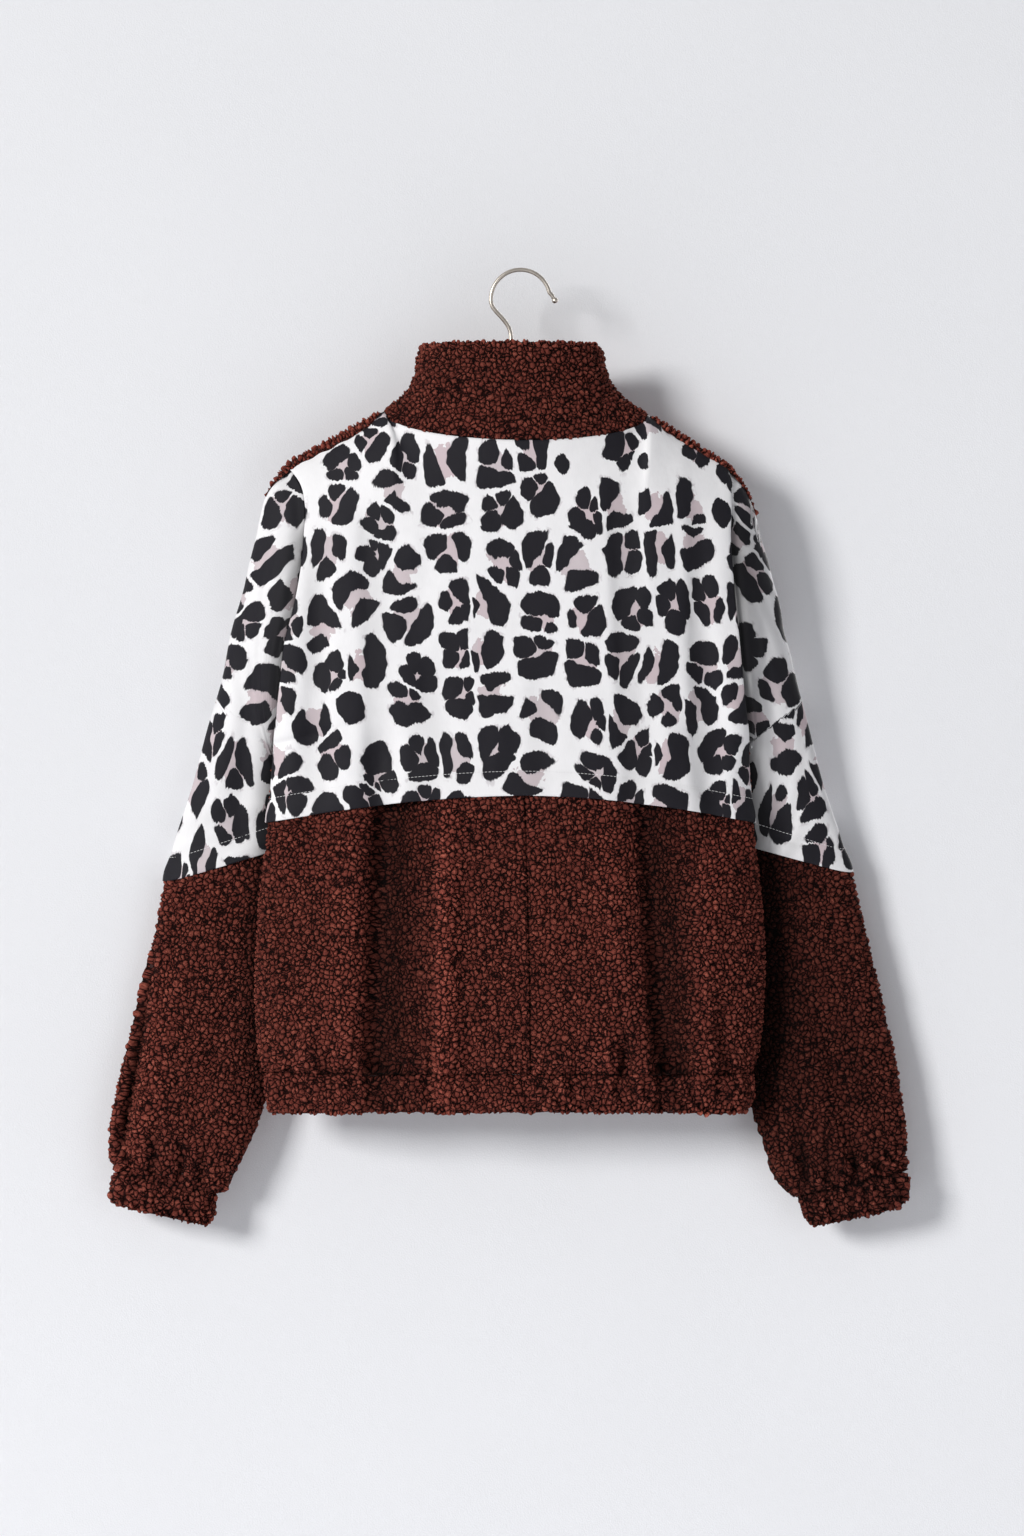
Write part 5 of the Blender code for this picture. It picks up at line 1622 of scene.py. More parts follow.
@dataclass
class Body:
    """The printed back yoke, the fleece lower back, the fronts and the hem band."""

    shop: Workshop
    creases: tuple[Crease, ...] = each(
        Crease, (BACK, -114, 420, -125, 765, 8, 44, 12), (BACK, -60, 450, -62, 800, 7, 14, -6.5),
        (BACK, 116, 420, 138, 765, 8, 40, 11), (BACK, 176, 500, 172, 780, 12, 16, -4.5),
        (BACK, 101, 664, 99, 752, 4.5, 8, 5), (BACK, 84, 650, 86, 745, 8, 7, -2.6),
        (BACK, -178, 670, -166, 750, 6, 10, 4), (BACK, -148, 690, -146, 750, 5, 8, 3),
        (BACK, 186, 640, 190, 752, 6, 8, 3.5), (BACK, 30, 690, 34, 748, 6, 8, 2),
        (BACK, -14, 700, -12, 750, 5, 7, 2.2), (BACK, -146, 470, -150, 770, 18, 12, -2),
        (BACK, 88, 470, 98, 640, 16, 12, -2), (FRONT, -96, 420, -124, 765, 14, 9, 6),
        (FRONT, 92, 440, 112, 765, 10, 18, 6.5), (FRONT, -46, 600, -44, 750, 6, 8, 3),
        (FRONT, 150, 660, 156, 752, 6, 8, 3.5), (FRONT, -168, 640, -176, 752, 8, 6, 3),
    )
    yoke_creases: tuple[Crease, ...] = each(
        Crease, (BACK, -130, 200, -118, 620, 9, 18, 2.4), (BACK, -72, 330, -96, 620, 10, 20, 1.8),
        (BACK, 92, 180, 116, 620, 8, 20, 2.6), (BACK, 164, 190, 172, 620, 8, 12, 2.4),
        (BACK, -176, 220, -172, 620, 11, 9, 2), (BACK, 24, 340, 22, 620, 10, 12, 1.2),
    )
    fleece_step: float = 1.5
    front_step: float = 1.75
    print_step: float = 2.5
    lap: float = 1.86
    fleece_out: float = 1.0
    fleece_in: float = -3.0
    hem_depth: float = 22.0
    roll_drop: float = 6.0

    def strip(self, face: Face, hand: Hand, across: Array, rows: Array) -> Array:
        """Points of a panel's grid."""
        return self.shop.torso.points(face, hand, across[None, :], rows[:, None])

    def rows(self, face: Face, low: float, high: float, step: float, across: float = 0.5) -> Array:
        """Rows an even step apart down a panel."""
        torso = self.shop.torso
        return even_steps(lambda down: torso.points(face, RIGHT, across, down), low, high, step)

    def columns(self, face: Face, down: float, step: float) -> Array:
        """Columns an even step apart across half a panel."""
        torso = self.shop.torso
        return even_steps(lambda across: torso.points(face, RIGHT, across, down), 0, 1, step, 3)

    def small_folds(self, patch: Patch, seed: int, height: float, length: float) -> Array:
        """Shallow uneven undulations of hanging cloth, mostly upright."""
        x, z = patch.points[..., 0], patch.points[..., 2]
        lean = waves(z, seed + 5, length * 5, 3) * length * 0.35
        return height * waves(x + lean, seed, length) * (0.6 + 0.4 * waves(z, seed + 9, length * 3, 3))

    def creased(self, face: Face, patch: Patch) -> tuple[Array, Array]:
        """The panel's listed creases: how far they move the cloth, and the painted shade and light along them."""
        return creases_at([c for c in self.creases if c.face == face], patch)

    def blouse(self, patch: Patch, seed: int) -> Array:
        """The fullness that hangs over the gathered seam."""
        x, up = patch.points[..., 0], patch.from_bottom
        full = 2.6 * (0.7 + 0.45 * waves(x, seed, 60, 4))
        return full * eased(up / 9) * bell(np.maximum(up - 9, 0), 20)

    def puckers(self, patch: Patch, distance: Array, seed: int, height: float, reach: float) -> Array:
        """Short gathers that run out from an elasticated seam."""
        x = patch.points[..., 0] + patch.points[..., 1] * 0.5
        run = reach * (0.65 + 0.35 * waves(x, seed + 3, 45, 3))
        fade = bell(distance, np.maximum(run, 4))
        return height * fade * waves(x, seed, 12)

    def turned_hem(self, hem: Array) -> Array:
        """The outside's height over the garment surface, by the distance from a turned hem."""
        outside = 0.6 + 2.3 * eased((26 - hem) / 20)
        return outside + 0.55 * eased((self.hem_depth + 0.8 - hem) / 1.6)

    def printed_piece(self, node: str, patch: Patch, outside: Array, sides: Sequence[Array],
                      flat: tuple[float, float], **fields: Any) -> None:
        """Builds a printed panel with its rolled hem edge and its topstitching.

        Args:
            node: the solid that it replaces.
            patch: the panel.
            outside: the outside's height.
            sides: distances from the side seams, where the outside falls back.
            flat: the cut's width and length in metres.
            fields: the shell's tone, which is painted shade, and its map.
        """
        hem = patch.from_bottom
        roll = rounding(hem, 0.9, 0.65)
        inside = outside - 1.3 + roll
        outside -= roll
        for distance in sides:
            outside -= rounding(distance, 3, 0.9)
        shell = Shell(f"{node}_cloth", patch, outside, inside, keep_rows=(-2, -3), **fields)
        piece = self.shop.settle(self.shop.dress_print(shell), "printed_woven", node)
        sheet_of(piece, patch, flat)
        self.topstitch(patch, outside, hem, f"{node}_topstitching")

    def yoke(self) -> None:
        """The printed back yoke with its turned hem and topstitching."""
        half = self.columns(BACK, 1.2, self.print_step)
        rows = with_fine_end(self.rows(BACK, 0, 2, self.print_step))
        halves = [self.strip(BACK, LEFT, half[::-1], rows), self.strip(BACK, RIGHT, half[1:], rows)]
        patch = Patch(np.concatenate(halves, axis=1))
        hem = patch.from_bottom
        outside = self.turned_hem(hem)
        outside += self.small_folds(patch, 11, 0.9, 46) * eased(patch.from_top / 60)
        above = hem - self.hem_depth
        outside += 0.28 * bell(above, 7) * waves(patch.points[..., 0], 21, 15)
        outside -= 0.35 * bell(above, 1.1)
        # the yoke's folds, and painted shade that greys the print along them
        moved, tone = creases_at(self.yoke_creases, patch)
        outside += moved * eased(hem / 50)
        self.printed_piece(
            "back_yoke", patch, outside, (patch.from_left, patch.from_right), (0.46, 0.36),
            tone=0.8 * tone, uv=self.print_map(patch, len(half) - 1),
        )

    def print_map(self, patch: Patch, middle: int) -> Array:
        """The yoke's flat map in metres: across from the middle, down from the underarm's row."""
        u = patch.from_left - patch.from_left[:, middle : middle + 1]
        row = int(len(patch.points) * 0.6)
        v = patch.from_top - patch.from_top[row : row + 1] - patch.points[row : row + 1, :, 2]
        return np.stack([u, -v], axis=-1) * MM

    def topstitch(self, patch: Patch, outside: Array, distance: Array, name: str) -> None:
        """Stitches at the hem's depth above the lower edge."""
        where = np.argmin(np.abs(distance - self.hem_depth), axis=0)
        index = np.arange(patch.points.shape[1])
        base, normal = patch.points[where, index], patch.normals[where, index]
        miss = (distance[where, index] - self.hem_depth)[:, None]
        down = unit(patch.points[np.minimum(where + 1, len(patch.points) - 1), index] - base)
        height = outside[where, index][:, None] + 0.12
        self.shop.sew(name, base + down * miss + normal * height, normal)

    def fleece_wall(self, patch: Patch, sides: Sequence[Array], radius: float = 3.2,
                    sink: float = 2.4) -> tuple[Array, Array, Array]:
        """Offsets and nap of a fleece panel whose seams sink between its neighbours."""
        shape = patch.points.shape[:2]
        outside, nap = np.full(shape, self.fleece_out), np.ones(shape)
        for distance in sides:
            outside -= rounding(distance, radius, sink)
            nap *= 0.45 + 0.55 * eased(distance / 3)
        return outside, np.full(shape, self.fleece_in), nap

    def half(self, face: Face, hand: Hand, place: tuple[float, float, float],
             seed: int) -> tuple[Patch, Array, Array, Array, Array]:
        """One fleece half of the back or of the front.

        Args:
            face: back or front.
            hand: left or right half.
            place: where its columns are measured, its first row, and the grid's step.
            seed: the seed of its folds.

        Returns:
            Its patch, outside, inside, nap, and the painted shade and light of its creases.
        """
        down, low, step = place
        order = self.columns(face, down, step)[:: -1 if face == hand else 1]
        patch = Patch(self.strip(face, hand, order, self.rows(face, low, 3, step)))
        bottom = patch.from_bottom
        outside, inside, nap = self.fleece_wall(patch, [patch.from_left, patch.from_right, bottom])
        moved, tone = self.creased(face, patch)
        small = self.small_folds(patch, seed, 0.9, 58)
        if face == FRONT:
            small *= eased(patch.from_top / 40)
        moved = moved + self.blouse(patch, seed + 7) + small
        moved += self.puckers(patch, bottom, seed + 20, 1.4, 22)
        moved *= eased(bottom / 4)
        if face == FRONT:
            moved *= eased((patch.from_left if hand == RIGHT else patch.from_right) / 12)
        return patch, outside + moved, inside + moved, nap, tone

    def lower_back(self, hand: Hand) -> None:
        """One fleece half of the lower back."""
        seed = 31 + hand
        place = (2.5, self.lap, self.fleece_step)
        patch, outside, inside, nap, tone = self.half(BACK, hand, place, seed)
        # painted shade along the centre-back seam and the gathered waist seam, and painted light and shade on the
        # puckers
        tone -= 0.42 * bell(patch.from_right if hand == LEFT else patch.from_left, 1.9)
        tone -= 0.30 * bell(patch.from_bottom, 2.4)
        tone += 0.5 * self.puckers(patch, patch.from_bottom, seed + 20, 0.45, 22)
        node = f"lower_back_{hand.word}"
        shell = Shell(f"{node}_fleece", patch, outside, inside, nap, tone=tone)
        self.shop.fleece_piece(shell, node, (0.29, 0.29))

    def front(self, hand: Hand) -> None:
        """One fleece front, which rolls a little over the shoulder seam to the back."""
        shop = self.shop
        place = (1.6, 0, self.front_step)
        patch, outside, inside, nap, tone = self.half(FRONT, hand, place, 61 + hand)
        node = f"front_{hand.word}"
        shell = Shell(f"{node}_fleece", patch, outside, inside, nap, tone=tone)
        piece = shop.settle(shop.dress_fleece(shell), "pile_fleece", node)
        sheet_of(piece, patch, (0.30, 0.64), [self.shoulder_roll(hand)])

    def shoulder_roll(self, hand: Hand) -> bpy.types.Object:
        """The front's pile where it rolls over the shoulder seam on to the back.

        Args:
            hand: the half of the garment.

        Returns:
            The finished piece.
        """
        shop, body = self.shop, self.shop.torso

        def below(face: Face, across: Array, fall: Array) -> Array:
            """Points a given drop below the shoulder line."""
            power = body.hem_power if face == BACK else 0
            hem = body.hem_drop + body.hem_fall * across**power
            span = hem - body.top_drop(face, hand, across)
            side = fall / span * (body.hem_drop + body.hem_fall - body.tip_drop)
            down = np.arccos(1 - 2 * side / (body.underarm_drop - body.tip_drop)) / np.pi
            return body.points(face, hand, across, down)

        columns = np.linspace(body.neck_share + 0.012, 0.999, 84)
        width = self.roll_drop * eased((columns - body.neck_share) / 0.10)
        width = width * (1 - 0.35 * eased((columns - 0.72) / 0.28)) + 0.25
        width *= 1 + 0.10 * waves(columns * 100, 5 + hand, 6)
        over = np.linspace(0, 1, 12)
        rows = [below(FRONT, columns, 3 * s) for s in (1, 0.45, 0.12)]
        rows += [below(BACK, columns, width * s * s) for s in over]
        # it peeps out a little way down the sleeve's outer edge too
        end = 1.55 if hand == RIGHT else 0.95
        rings = np.linspace(0, end, int(24 * end) + 3)[1:]
        thin = 1 - 0.75 * rings / end
        turns = [-0.27 * thin, -0.18 * thin, -0.09 * thin, *(0.27 * s * thin for s in over)]
        edge = [shop.sleeves.points(hand, rings, np.mod(t, 2 * np.pi)) for t in turns]
        grid = np.concatenate([np.array(rows), np.array(edge)], axis=1)
        patch = Patch(grid[:, ::hand])
        near = np.minimum(patch.from_top, patch.from_bottom)
        near = np.minimum(near, np.minimum(patch.from_left, patch.from_right))
        outside = 2.4 - rounding(near, 2.2, 1.6)
        # tone 0.35 is a painted highlight along the top of the shoulder
        inside, tone = np.full_like(near, 0.7), np.full_like(near, 0.35)
        nap = 0.6 + 1.1 * eased(near / 2)
        name = f"front_{hand.word}_shoulder_roll"
        shell = Shell(name, patch, outside, inside, nap, tone=tone, keep=1)
        return shop.settle(shop.dress_fleece(shell), "pile_fleece", f"front_{hand.word}")

    def band(self) -> None:
        """The gathered hem band, from zip to zip by way of the back."""
        back, front = self.columns(BACK, 3.5, 1.4), self.columns(FRONT, 3.5, 1.4)
        rows = with_fine_end(self.rows(BACK, 3, 4, 1.35, 0.3))
        patch = zip_to_zip(lambda *part: self.strip(*part, rows), back, front)
        top, bottom, around = patch.from_top, patch.from_bottom, patch.from_left
        outside, inside, nap = self.fleece_wall(patch, [around, patch.from_right, top], 3)
        belly = np.sin(np.pi * np.clip(top / 36, 0, 1)) ** 0.7
        gather = waves(around + waves(top, 84, 60, 3) * 2, 83, 14)
        moved = 1.2 * belly + 1 * gather * eased(top / 4)
        moved += 0.8 * waves(around, 85, 34) * eased(top / 8)
        behind = patch.points[..., 1] < -12
        sunk, tone = self.creased(BACK, patch)
        moved += 0.55 * sunk * behind
        outside = outside + moved - rounding(bottom, 3.4, 2.6)
        inside = inside + moved + rounding(bottom, 2, 1.3)
        nap *= 1 + 0.7 * bell(bottom, 4)
        # painted shade in the back's creases, and painted light and shade on the gathers
        tone = 0.7 * tone * behind + 0.14 * gather
        shell = Shell("hem_band_fleece", patch, outside, inside, nap, tone=tone, keep_rows=(-2, -3, -4))
        self.shop.fleece_piece(shell, "waistband", (0.98, 0.05))

    def build(self) -> None:
        """All panels of the body."""
        self.yoke()
        for hand in Hand:
            self.lower_back(hand)
            self.front(hand)
        self.band()


@dataclass
class Collar:
    """The fleece stand collar, with pile on both its sides."""

    shop: Workshop
    step: float = 1.45
    out: float = 2.0
    inner: float = -3.5

    def build(self) -> None:
        """Builds the collar from zip to zip."""
        shape, shop = self.shop.collar, self.shop
        back, front = (
            even_steps(lambda across: shape.points(face, RIGHT, across, 0.4), 0, 1, self.step, 3)
            for face in Face
        )
        up = even_steps(lambda up: shape.points(BACK, RIGHT, 0.3, up), 0, 1, self.step)
        up = with_fine_end(up)[::-1, None]
        patch = zip_to_zip(lambda f, h, c: shape.points(f, h, c[None, :], up), back, front)
        top = patch.from_top
        outside = np.full(patch.points.shape[:2], self.out)
        nap = np.ones_like(outside)
        for distance in (patch.from_left, patch.from_right):
            outside -= rounding(distance, 3, 2.4)
            nap *= 0.45 + 0.55 * eased(distance / 3)
        outside -= rounding(patch.from_bottom, 3, 1.6)
        roll = rounding(top, 3.4, 2.6)
        nap *= 1 + 0.6 * bell(top, 5)
        inside = self.inner + roll + rounding(patch.from_left, 2, 0.8)
        # tone: a painted highlight along the top edge, and the collar a little darker all over
        shell = Shell(
            "collar_fleece", patch, outside - roll, inside, nap, np.ones_like(nap), keep=1,
            tone=0.34 * bell(top, 5) - 0.09,
        )
        piece = shop.dress_fleece(shell)
        for polygon in piece.data.polygons:
            polygon.material_index = 0
        shop.settle(piece, "pile_fleece", "collar")
        sheet_of(piece, patch, (0.56, 0.14))


@dataclass
class Sleeve:
    """A sleeve: a printed upper part over a fleece lower part, and a gathered cuff."""

    shop: Workshop
    hand: Hand
    body: Body
    print_step: float = 2.6
    fleece_step: float = 1.7
    creases: tuple[Crease, ...] = each(
        Crease, (BACK, -321, 585, -357, 800, 2.6, 4.2, 8), (BACK, -311, 585, -346, 810, 4, 9, -3.4),
        (BACK, -300, 610, -330, 790, 9, 11, -2), (BACK, -322, 752, -326, 829, 4, 7, 5),
        (BACK, -298, 772, -302, 832, 4, 6, 5), (BACK, -276, 766, -284, 838, 4, 6, 4.5),
        (BACK, -310, 782, -314, 832, 3, 5, 3), (BACK, 256, 752, 268, 834, 5, 7, 4.5),
        (BACK, 284, 768, 288, 830, 4, 6, 4), (BACK, 310, 764, 312, 828, 5, 6, 5),
        (BACK, 334, 772, 332, 824, 4, 6, 3.5), (BACK, 300, 640, 322, 770, 16, 14, 1.6),
        (FRONT, -330, 640, -338, 822, 8, 12, 5), (FRONT, -262, 600, -282, 832, 12, 12, 5),
        (FRONT, 318, 620, 330, 822, 10, 8, 5), (FRONT, 262, 620, 276, 832, 12, 10, 4.5),
    )

    def patch(self, low: float, high: float, step: float, fine_end: bool) -> Patch:
        """A closed stretch of the sleeve with its join on the inside of the arm."""
        shape, hand = self.shop.sleeves, self.hand
        angles = np.linspace(0, 2 * np.pi, 1441)
        ring = shape.points(hand, (low + high) / 2, np.clip(angles, 0, 2 * np.pi - 1e-9))
        run = run_along(ring)
        count = int(round(run[-1] / step / 3)) * 3
        half = np.interp(np.pi, angles, run)
        at = (half + np.arange(count) * run[-1] / count) % run[-1]
        rings = even_steps(lambda rings: shape.points(hand, rings, 1), low, high, step)
        rings = with_fine_end(rings) if fine_end else rings
        points = shape.points(hand, rings[:, None], np.interp(at, run, angles)[None, :])
        return Patch(points if hand == LEFT else points[:, ::-1], closed=True)

    def print_map(self, patch: Patch) -> tuple[Array, Array]:
        """A flat map whose grain runs down the sleeve, and its whole width on each row.

        Args:
            patch: the printed part, with its join inside the arm.

        Returns:
            The map in metres, and the distance round the sleeve on each row in metres.
        """
        points = patch.points
        outer = np.argmax(self.hand * points[..., 0], axis=1)
        edge = points[np.arange(len(points)), outer]
        grain = unit(edge[-1] - edge[0]) * (1, 0, 1)
        across = np.array([grain[2], 0, -grain[0]])
        along = points @ grain
        flat = np.abs(points @ across - np.interp(along, edge @ grain, edge @ across))
        share = np.clip(flat / np.maximum(flat.max(axis=1, keepdims=True), 1), 0, 1)
        far = flat + 9 * (eased(share * 5) + eased((share - 0.85) * 6))
        side = np.where(np.arange(points.shape[1]) < outer[:, None], -1, 1)
        whole = 2 * np.maximum(far[:, 0], far[:, -1])
        start = 1.34 if self.hand == LEFT else 2.0
        return np.stack([side * far * MM + start, along * MM], axis=-1), whole * MM

    def shade(self, patch: Patch) -> Array:
        """Painted shade on the cloth where it goes in behind the side of the body."""
        x, y, z = np.moveaxis(patch.points, -1, 0)
        side = self.shop.torso.points(BACK, self.hand, 1, np.linspace(0, 4, 161))
        clear = np.abs(x) - np.interp(-z, -side[:, 2], np.abs(side[:, 0]))
        reach, depth = (19, 0.68) if self.hand == RIGHT else (12, 0.60)
        tone = -depth * np.exp(-((np.maximum(clear, 0) / reach) ** 1.5))
        return tone * eased((800 + z) / 60) * eased((-z - 196) / 60) * eased((36 - y) / 12)

    def upper(self) -> None:
        """The printed upper sleeve with its turned hem."""
        patch = self.patch(0, float(self.shop.sleeves.hem), self.print_step, True)
        hem, seam = patch.from_bottom, patch.from_top
        outside = self.body.turned_hem(hem) - rounding(seam, 3, 0.9)
        belly = np.sin(np.pi * np.clip(seam / seam[-1:], 0, 1))
        outside += 0.9 * waves(patch.from_left, 41 + self.hand, 44) * belly
        outward = np.clip(self.hand * patch.normals[..., 0], 0, 1)
        outside += 4.2 * outward * eased((110 - hem) / 100)
        outside -= 2.2 * bell(seam - 7, 8) * eased(seam / 5)
        # painted shade where the sleeve goes in behind the body and along the armhole seam, and some soft uneven
        # darkening
        tone = self.shade(patch) - 0.14 * bell(seam, 14)
        tone -= 0.08 * np.abs(waves(seam * 0.4 + patch.from_left, 47, 50))
        uv, wrap = self.print_map(patch)
        self.body.printed_piece(
            f"upper_sleeve_{self.hand.word}", patch, outside, (), (0.40, 0.40),
            tone=np.minimum(tone, 0.03), uv=uv, wrap=wrap,
        )

    def fleece_part(self, node: str, low: float, high: float, step: float, end: bool,
                    flat: tuple[float, float]) -> None:
        """A closed fleece stretch of the sleeve.

        Args:
            node: the solid that it replaces.
            low: the first ring.
            high: the last ring.
            step: the grid's step in millimetres.
            end: whether the lower edge is the cuff's open end.
            flat: the cut's width and length in metres.
        """
        patch = self.patch(low, high, step, end)
        top, bottom, run = patch.from_top, patch.from_bottom, patch.from_left
        outside, inside, nap = self.body.fleece_wall(patch, [top if end else bottom], 3, 1.2)
        seed, right = 101 + self.hand * 3, self.hand == RIGHT
        inner = np.abs(patch.points[..., 0])
        inner = (inner.max(axis=1, keepdims=True) - inner) / np.ptp(inner, axis=1, keepdims=True)
        low_down = 0.3 + 0.7 * eased((790 + patch.points[..., 2]) / 100)
        facing = eased((36 - patch.points[..., 1]) / 10)
        strength = 0.30 if right else 0.12
        # painted shade: the inner side beside the body, and the whole right sleeve, which lies in the body's shadow
        tone = self.shade(patch) - strength * eased((inner - 0.10) / 0.6) * low_down * facing
        tone -= 0.36 if right else 0
        moved = np.zeros_like(tone)
        for face in Face:
            facing = np.clip(face * patch.normals[..., 1] * 2.5, 0, 1)
            # the creases, with painted shade along them
            sunk, dark = creases_at([c for c in self.creases if c.face == face], patch)
            moved, tone = moved + sunk * facing, tone + dark * facing
        wander = run + waves(top, seed + 2, 70, 3) * 2
        if end:
            gather = waves(wander, seed, 10.5)
            spread = 1.2 + 2.6 * (1 - eased(inner * 2.2))
            moved += (1.5 * gather + spread) * eased(top / 4)
            # painted light and shade on the gathers, and painted shade under the sleeve where it hangs over the cuff
            tone = tone + 0.22 * gather - 0.35 * bell(top, 2.4)
            corner = rounding(bottom, 12, 7) * eased((np.abs(patch.normals[..., 0]) - 0.25) / 0.5)
            outside = outside - rounding(bottom, 3.4, 2.6) - corner
            inside = inside + rounding(bottom, 2, 1.2) - corner
            nap *= 1 + 0.8 * bell(bottom, 4)
        else:
            gather = waves(wander, seed, 13) * bell(bottom, 24)
            full = eased(bottom / 7) * bell(np.maximum(bottom - 7, 0), 18)
            full *= 0.1 + 0.9 * eased(inner * 1.6)
            moved = moved + 2 * gather + 3 * full * (0.7 + 0.4 * waves(run, seed + 4, 48))
            moved += 0.9 * waves(run + waves(top, seed, 160) * 12, seed + 1, 60)
            moved *= eased(bottom / 4)
            # painted light and shade on the gathers, and painted shade along the lower edge that hangs over the cuff
            tone = tone + 0.26 * gather - 0.30 * bell(bottom, 2.4)
        outward = self.hand * patch.normals[..., 0]
        pull = 6 if end else 0 if right else 3.5 * low_down
        out = 3.2 if end and right else 5.4
        moved = moved + out * np.clip(outward, 0, 1) + pull * np.clip(outward, -1, 0)
        # painted highlight along the sleeve's outer edge
        tone += 0.45 * np.clip(outward, 0, 1) ** 5
        shell = Shell(
            f"{node}_fleece", patch, outside + moved, inside + moved, nap, tone=tone,
            keep_rows=(-2, -3) if end else (),
        )
        self.shop.fleece_piece(shell, node, flat, gathered=1.12 if end else 1)

    def build(self) -> None:
        """The sleeve's three parts."""
        shape, word = self.shop.sleeves, self.hand.word
        seam, last = shape.cuff_seam, len(shape.left) - 1.0
        self.upper()
        self.fleece_part(f"lower_sleeve_{word}", shape.lap, seam, self.fleece_step, False, (0.36, 0.34))
        self.fleece_part(f"cuff_{word}", seam, last, 1.4, True, (0.28, 0.050))


def tube(name: str, path: Array, radii: Array, sides: int) -> bpy.types.Object:
    """A round solid along a path in the plane of the hanger, from its radius at each point."""
    along, across = unit(np.gradient(path, axis=0)), np.array([0, 1, 0])
    other = unit(np.cross(along, across))
    turns = np.linspace(0, 2 * np.pi, sides, endpoint=False)[None, :, None]
    spokes = np.cos(turns) * across + np.sin(turns) * other[:, None]
    return lofted(name, path[:, None] + radii[:, None, None] * spokes)


@dataclass
class Hanger:
    """The wire hook, its ferrule and the wooden arms."""

    shop: Workshop
    wire: float = 1.9
    hook_radius: float = 26.8
    ball: float = 2.9
    arm_thickness: float = 10.0
    arm_height: float = 21.0
    arm_reach: float = 186.0
    clearance: float = 9.5
    arch_reach: float = 70.0
    arch_rise: float = 8.5

    def shoulder_drop(self, reach: float) -> float:
        """The drop of the shoulder seams over a reach."""
        body = self.shop.torso
        hand = LEFT if reach < 0 else RIGHT
        corner = abs(body.neck_centre + hand * body.neck_reach)
        tip = body.edges[0, 1 if hand == LEFT else 2]
        slope = (body.tip_drop - body.neck_drops[hand]) / (tip - corner)
        return body.neck_drops[hand] + slope * (abs(reach) - corner)

    def arm_drop(self, reach: float) -> float:
        """The drop of the arms' top: along the shoulders, with an easy arch over the middle."""
        ends = self.arch_reach
        if abs(reach) >= ends:
            return self.shoulder_drop(reach) + self.clearance
        left, right = (self.shoulder_drop(hand * ends) + self.clearance for hand in Hand)
        share = (reach / ends + 1) / 2
        return left + (right - left) * share - self.arch_rise * (1 - (reach / ends) ** 2)

    def arms(self) -> None:
        """The wooden arms, rounded all over."""
        turns = 2 * np.pi * (np.arange(32) + 0.5) / 32
        y, z = (np.sign(way) * np.abs(way) ** 0.6 / 2 for way in (np.cos(turns), np.sin(turns)))
        rings = []
        for share in np.sin(np.linspace(-np.pi / 2, np.pi / 2, 81)):
            narrowing = 0.35 * share**2
            end = math.sqrt(max(0, 1 - max(0, (abs(share) - 0.97) / 0.031) ** 2))
            tall = self.arm_height * (1 - narrowing)
            thick = self.arm_thickness * (1 - narrowing / 3)
            reach, scale = share * self.arm_reach, max(end, 0.15)
            middle = self.arm_drop(reach) + tall / 2
            rings.append(np.stack([0 * y + reach, thick * y * scale, tall * z * scale - middle], -1))
        piece = lofted("hanger_wooden_arms", rings)
        self.shop.settle(piece, "beech", "hanger_arms", finish=self.shop.beech)

    def ferrule(self) -> float:
        """The turned ferrule on top of the arms; returns the drop of its top."""
        foot = self.arm_drop(0) - 0.3
        # rise, radius
        rows = (
            (0, 6.6), (0.4, 7), (2.2, 7), (2.6, 6.6), (3, 5.2), (5.5, 4.9), (8.3, 4), (8.8, 3.7), (9, 3.3),
        )
        turns = np.linspace(0, 2 * np.pi, 40, endpoint=False)
        x, y = np.cos(turns), np.sin(turns)
        rings = [np.stack([radius * x, radius * y, 0 * x + rise - foot], -1) for rise, radius in rows]
        piece = lofted("hanger_ferrule_nickel", rings)
        self.shop.settle(piece, "steel", "hanger_ferrule", finish=self.shop.nickel)
        return foot - rows[-1][0]

    def hook(self, end_drop: float) -> None:
        """The hook's wire, with a ball on its end."""
        middle_x, middle_drop, radius = -STEM_X, self.hook_radius - self.wire, self.hook_radius
        arc = np.radians(np.linspace(14, 184, 60))
        round_part = zip(middle_x + radius * np.cos(arc), middle_drop - radius * np.sin(arc))
        line = np.array([
            (38.4, 23.55), (36.8, 20.95), *round_part, (-16.9, 31.2), (-13.8, 35.6), (-9.8, 40),
            (-5.8, 44.6), (-2.5, 49.4), (-0.6, 54.6), (0, 60), (0, end_drop),
        ])
        run = run_along(line)
        at = np.linspace(0, run[-1], 150)
        smooth = read_line(at, run, line)
        start, ahead = smooth[0], unit(smooth[0] - smooth[2])
        # how far the ball's ring stands before the wire's end, and its share of the ball's radius
        profile = np.array([
            (5.2, 0.08), (5.1, 0.28), (4.8, 0.62), (4.2, 0.86), (3.4, 0.98),
            (2.5, 1), (1.6, 0.92), (0.9, 0.76), (0.3, 0.60),
        ])
        flat = np.concatenate([start + ahead * profile[:, :1], smooth])
        radii = np.r_[profile[:, 1] * self.ball, np.full(len(smooth), self.wire)]
        path = np.stack([flat[:, 0], 0 * flat[:, 0], -flat[:, 1]], axis=1)
        piece = tube("hanger_hook_wire", path, radii, 24)
        self.shop.settle(piece, "steel", "hanger_hook", finish=self.shop.nickel)

    def build(self) -> None:
        """Arms, ferrule and hook."""
        self.arms()
        self.hook(self.ferrule() - 0.3)


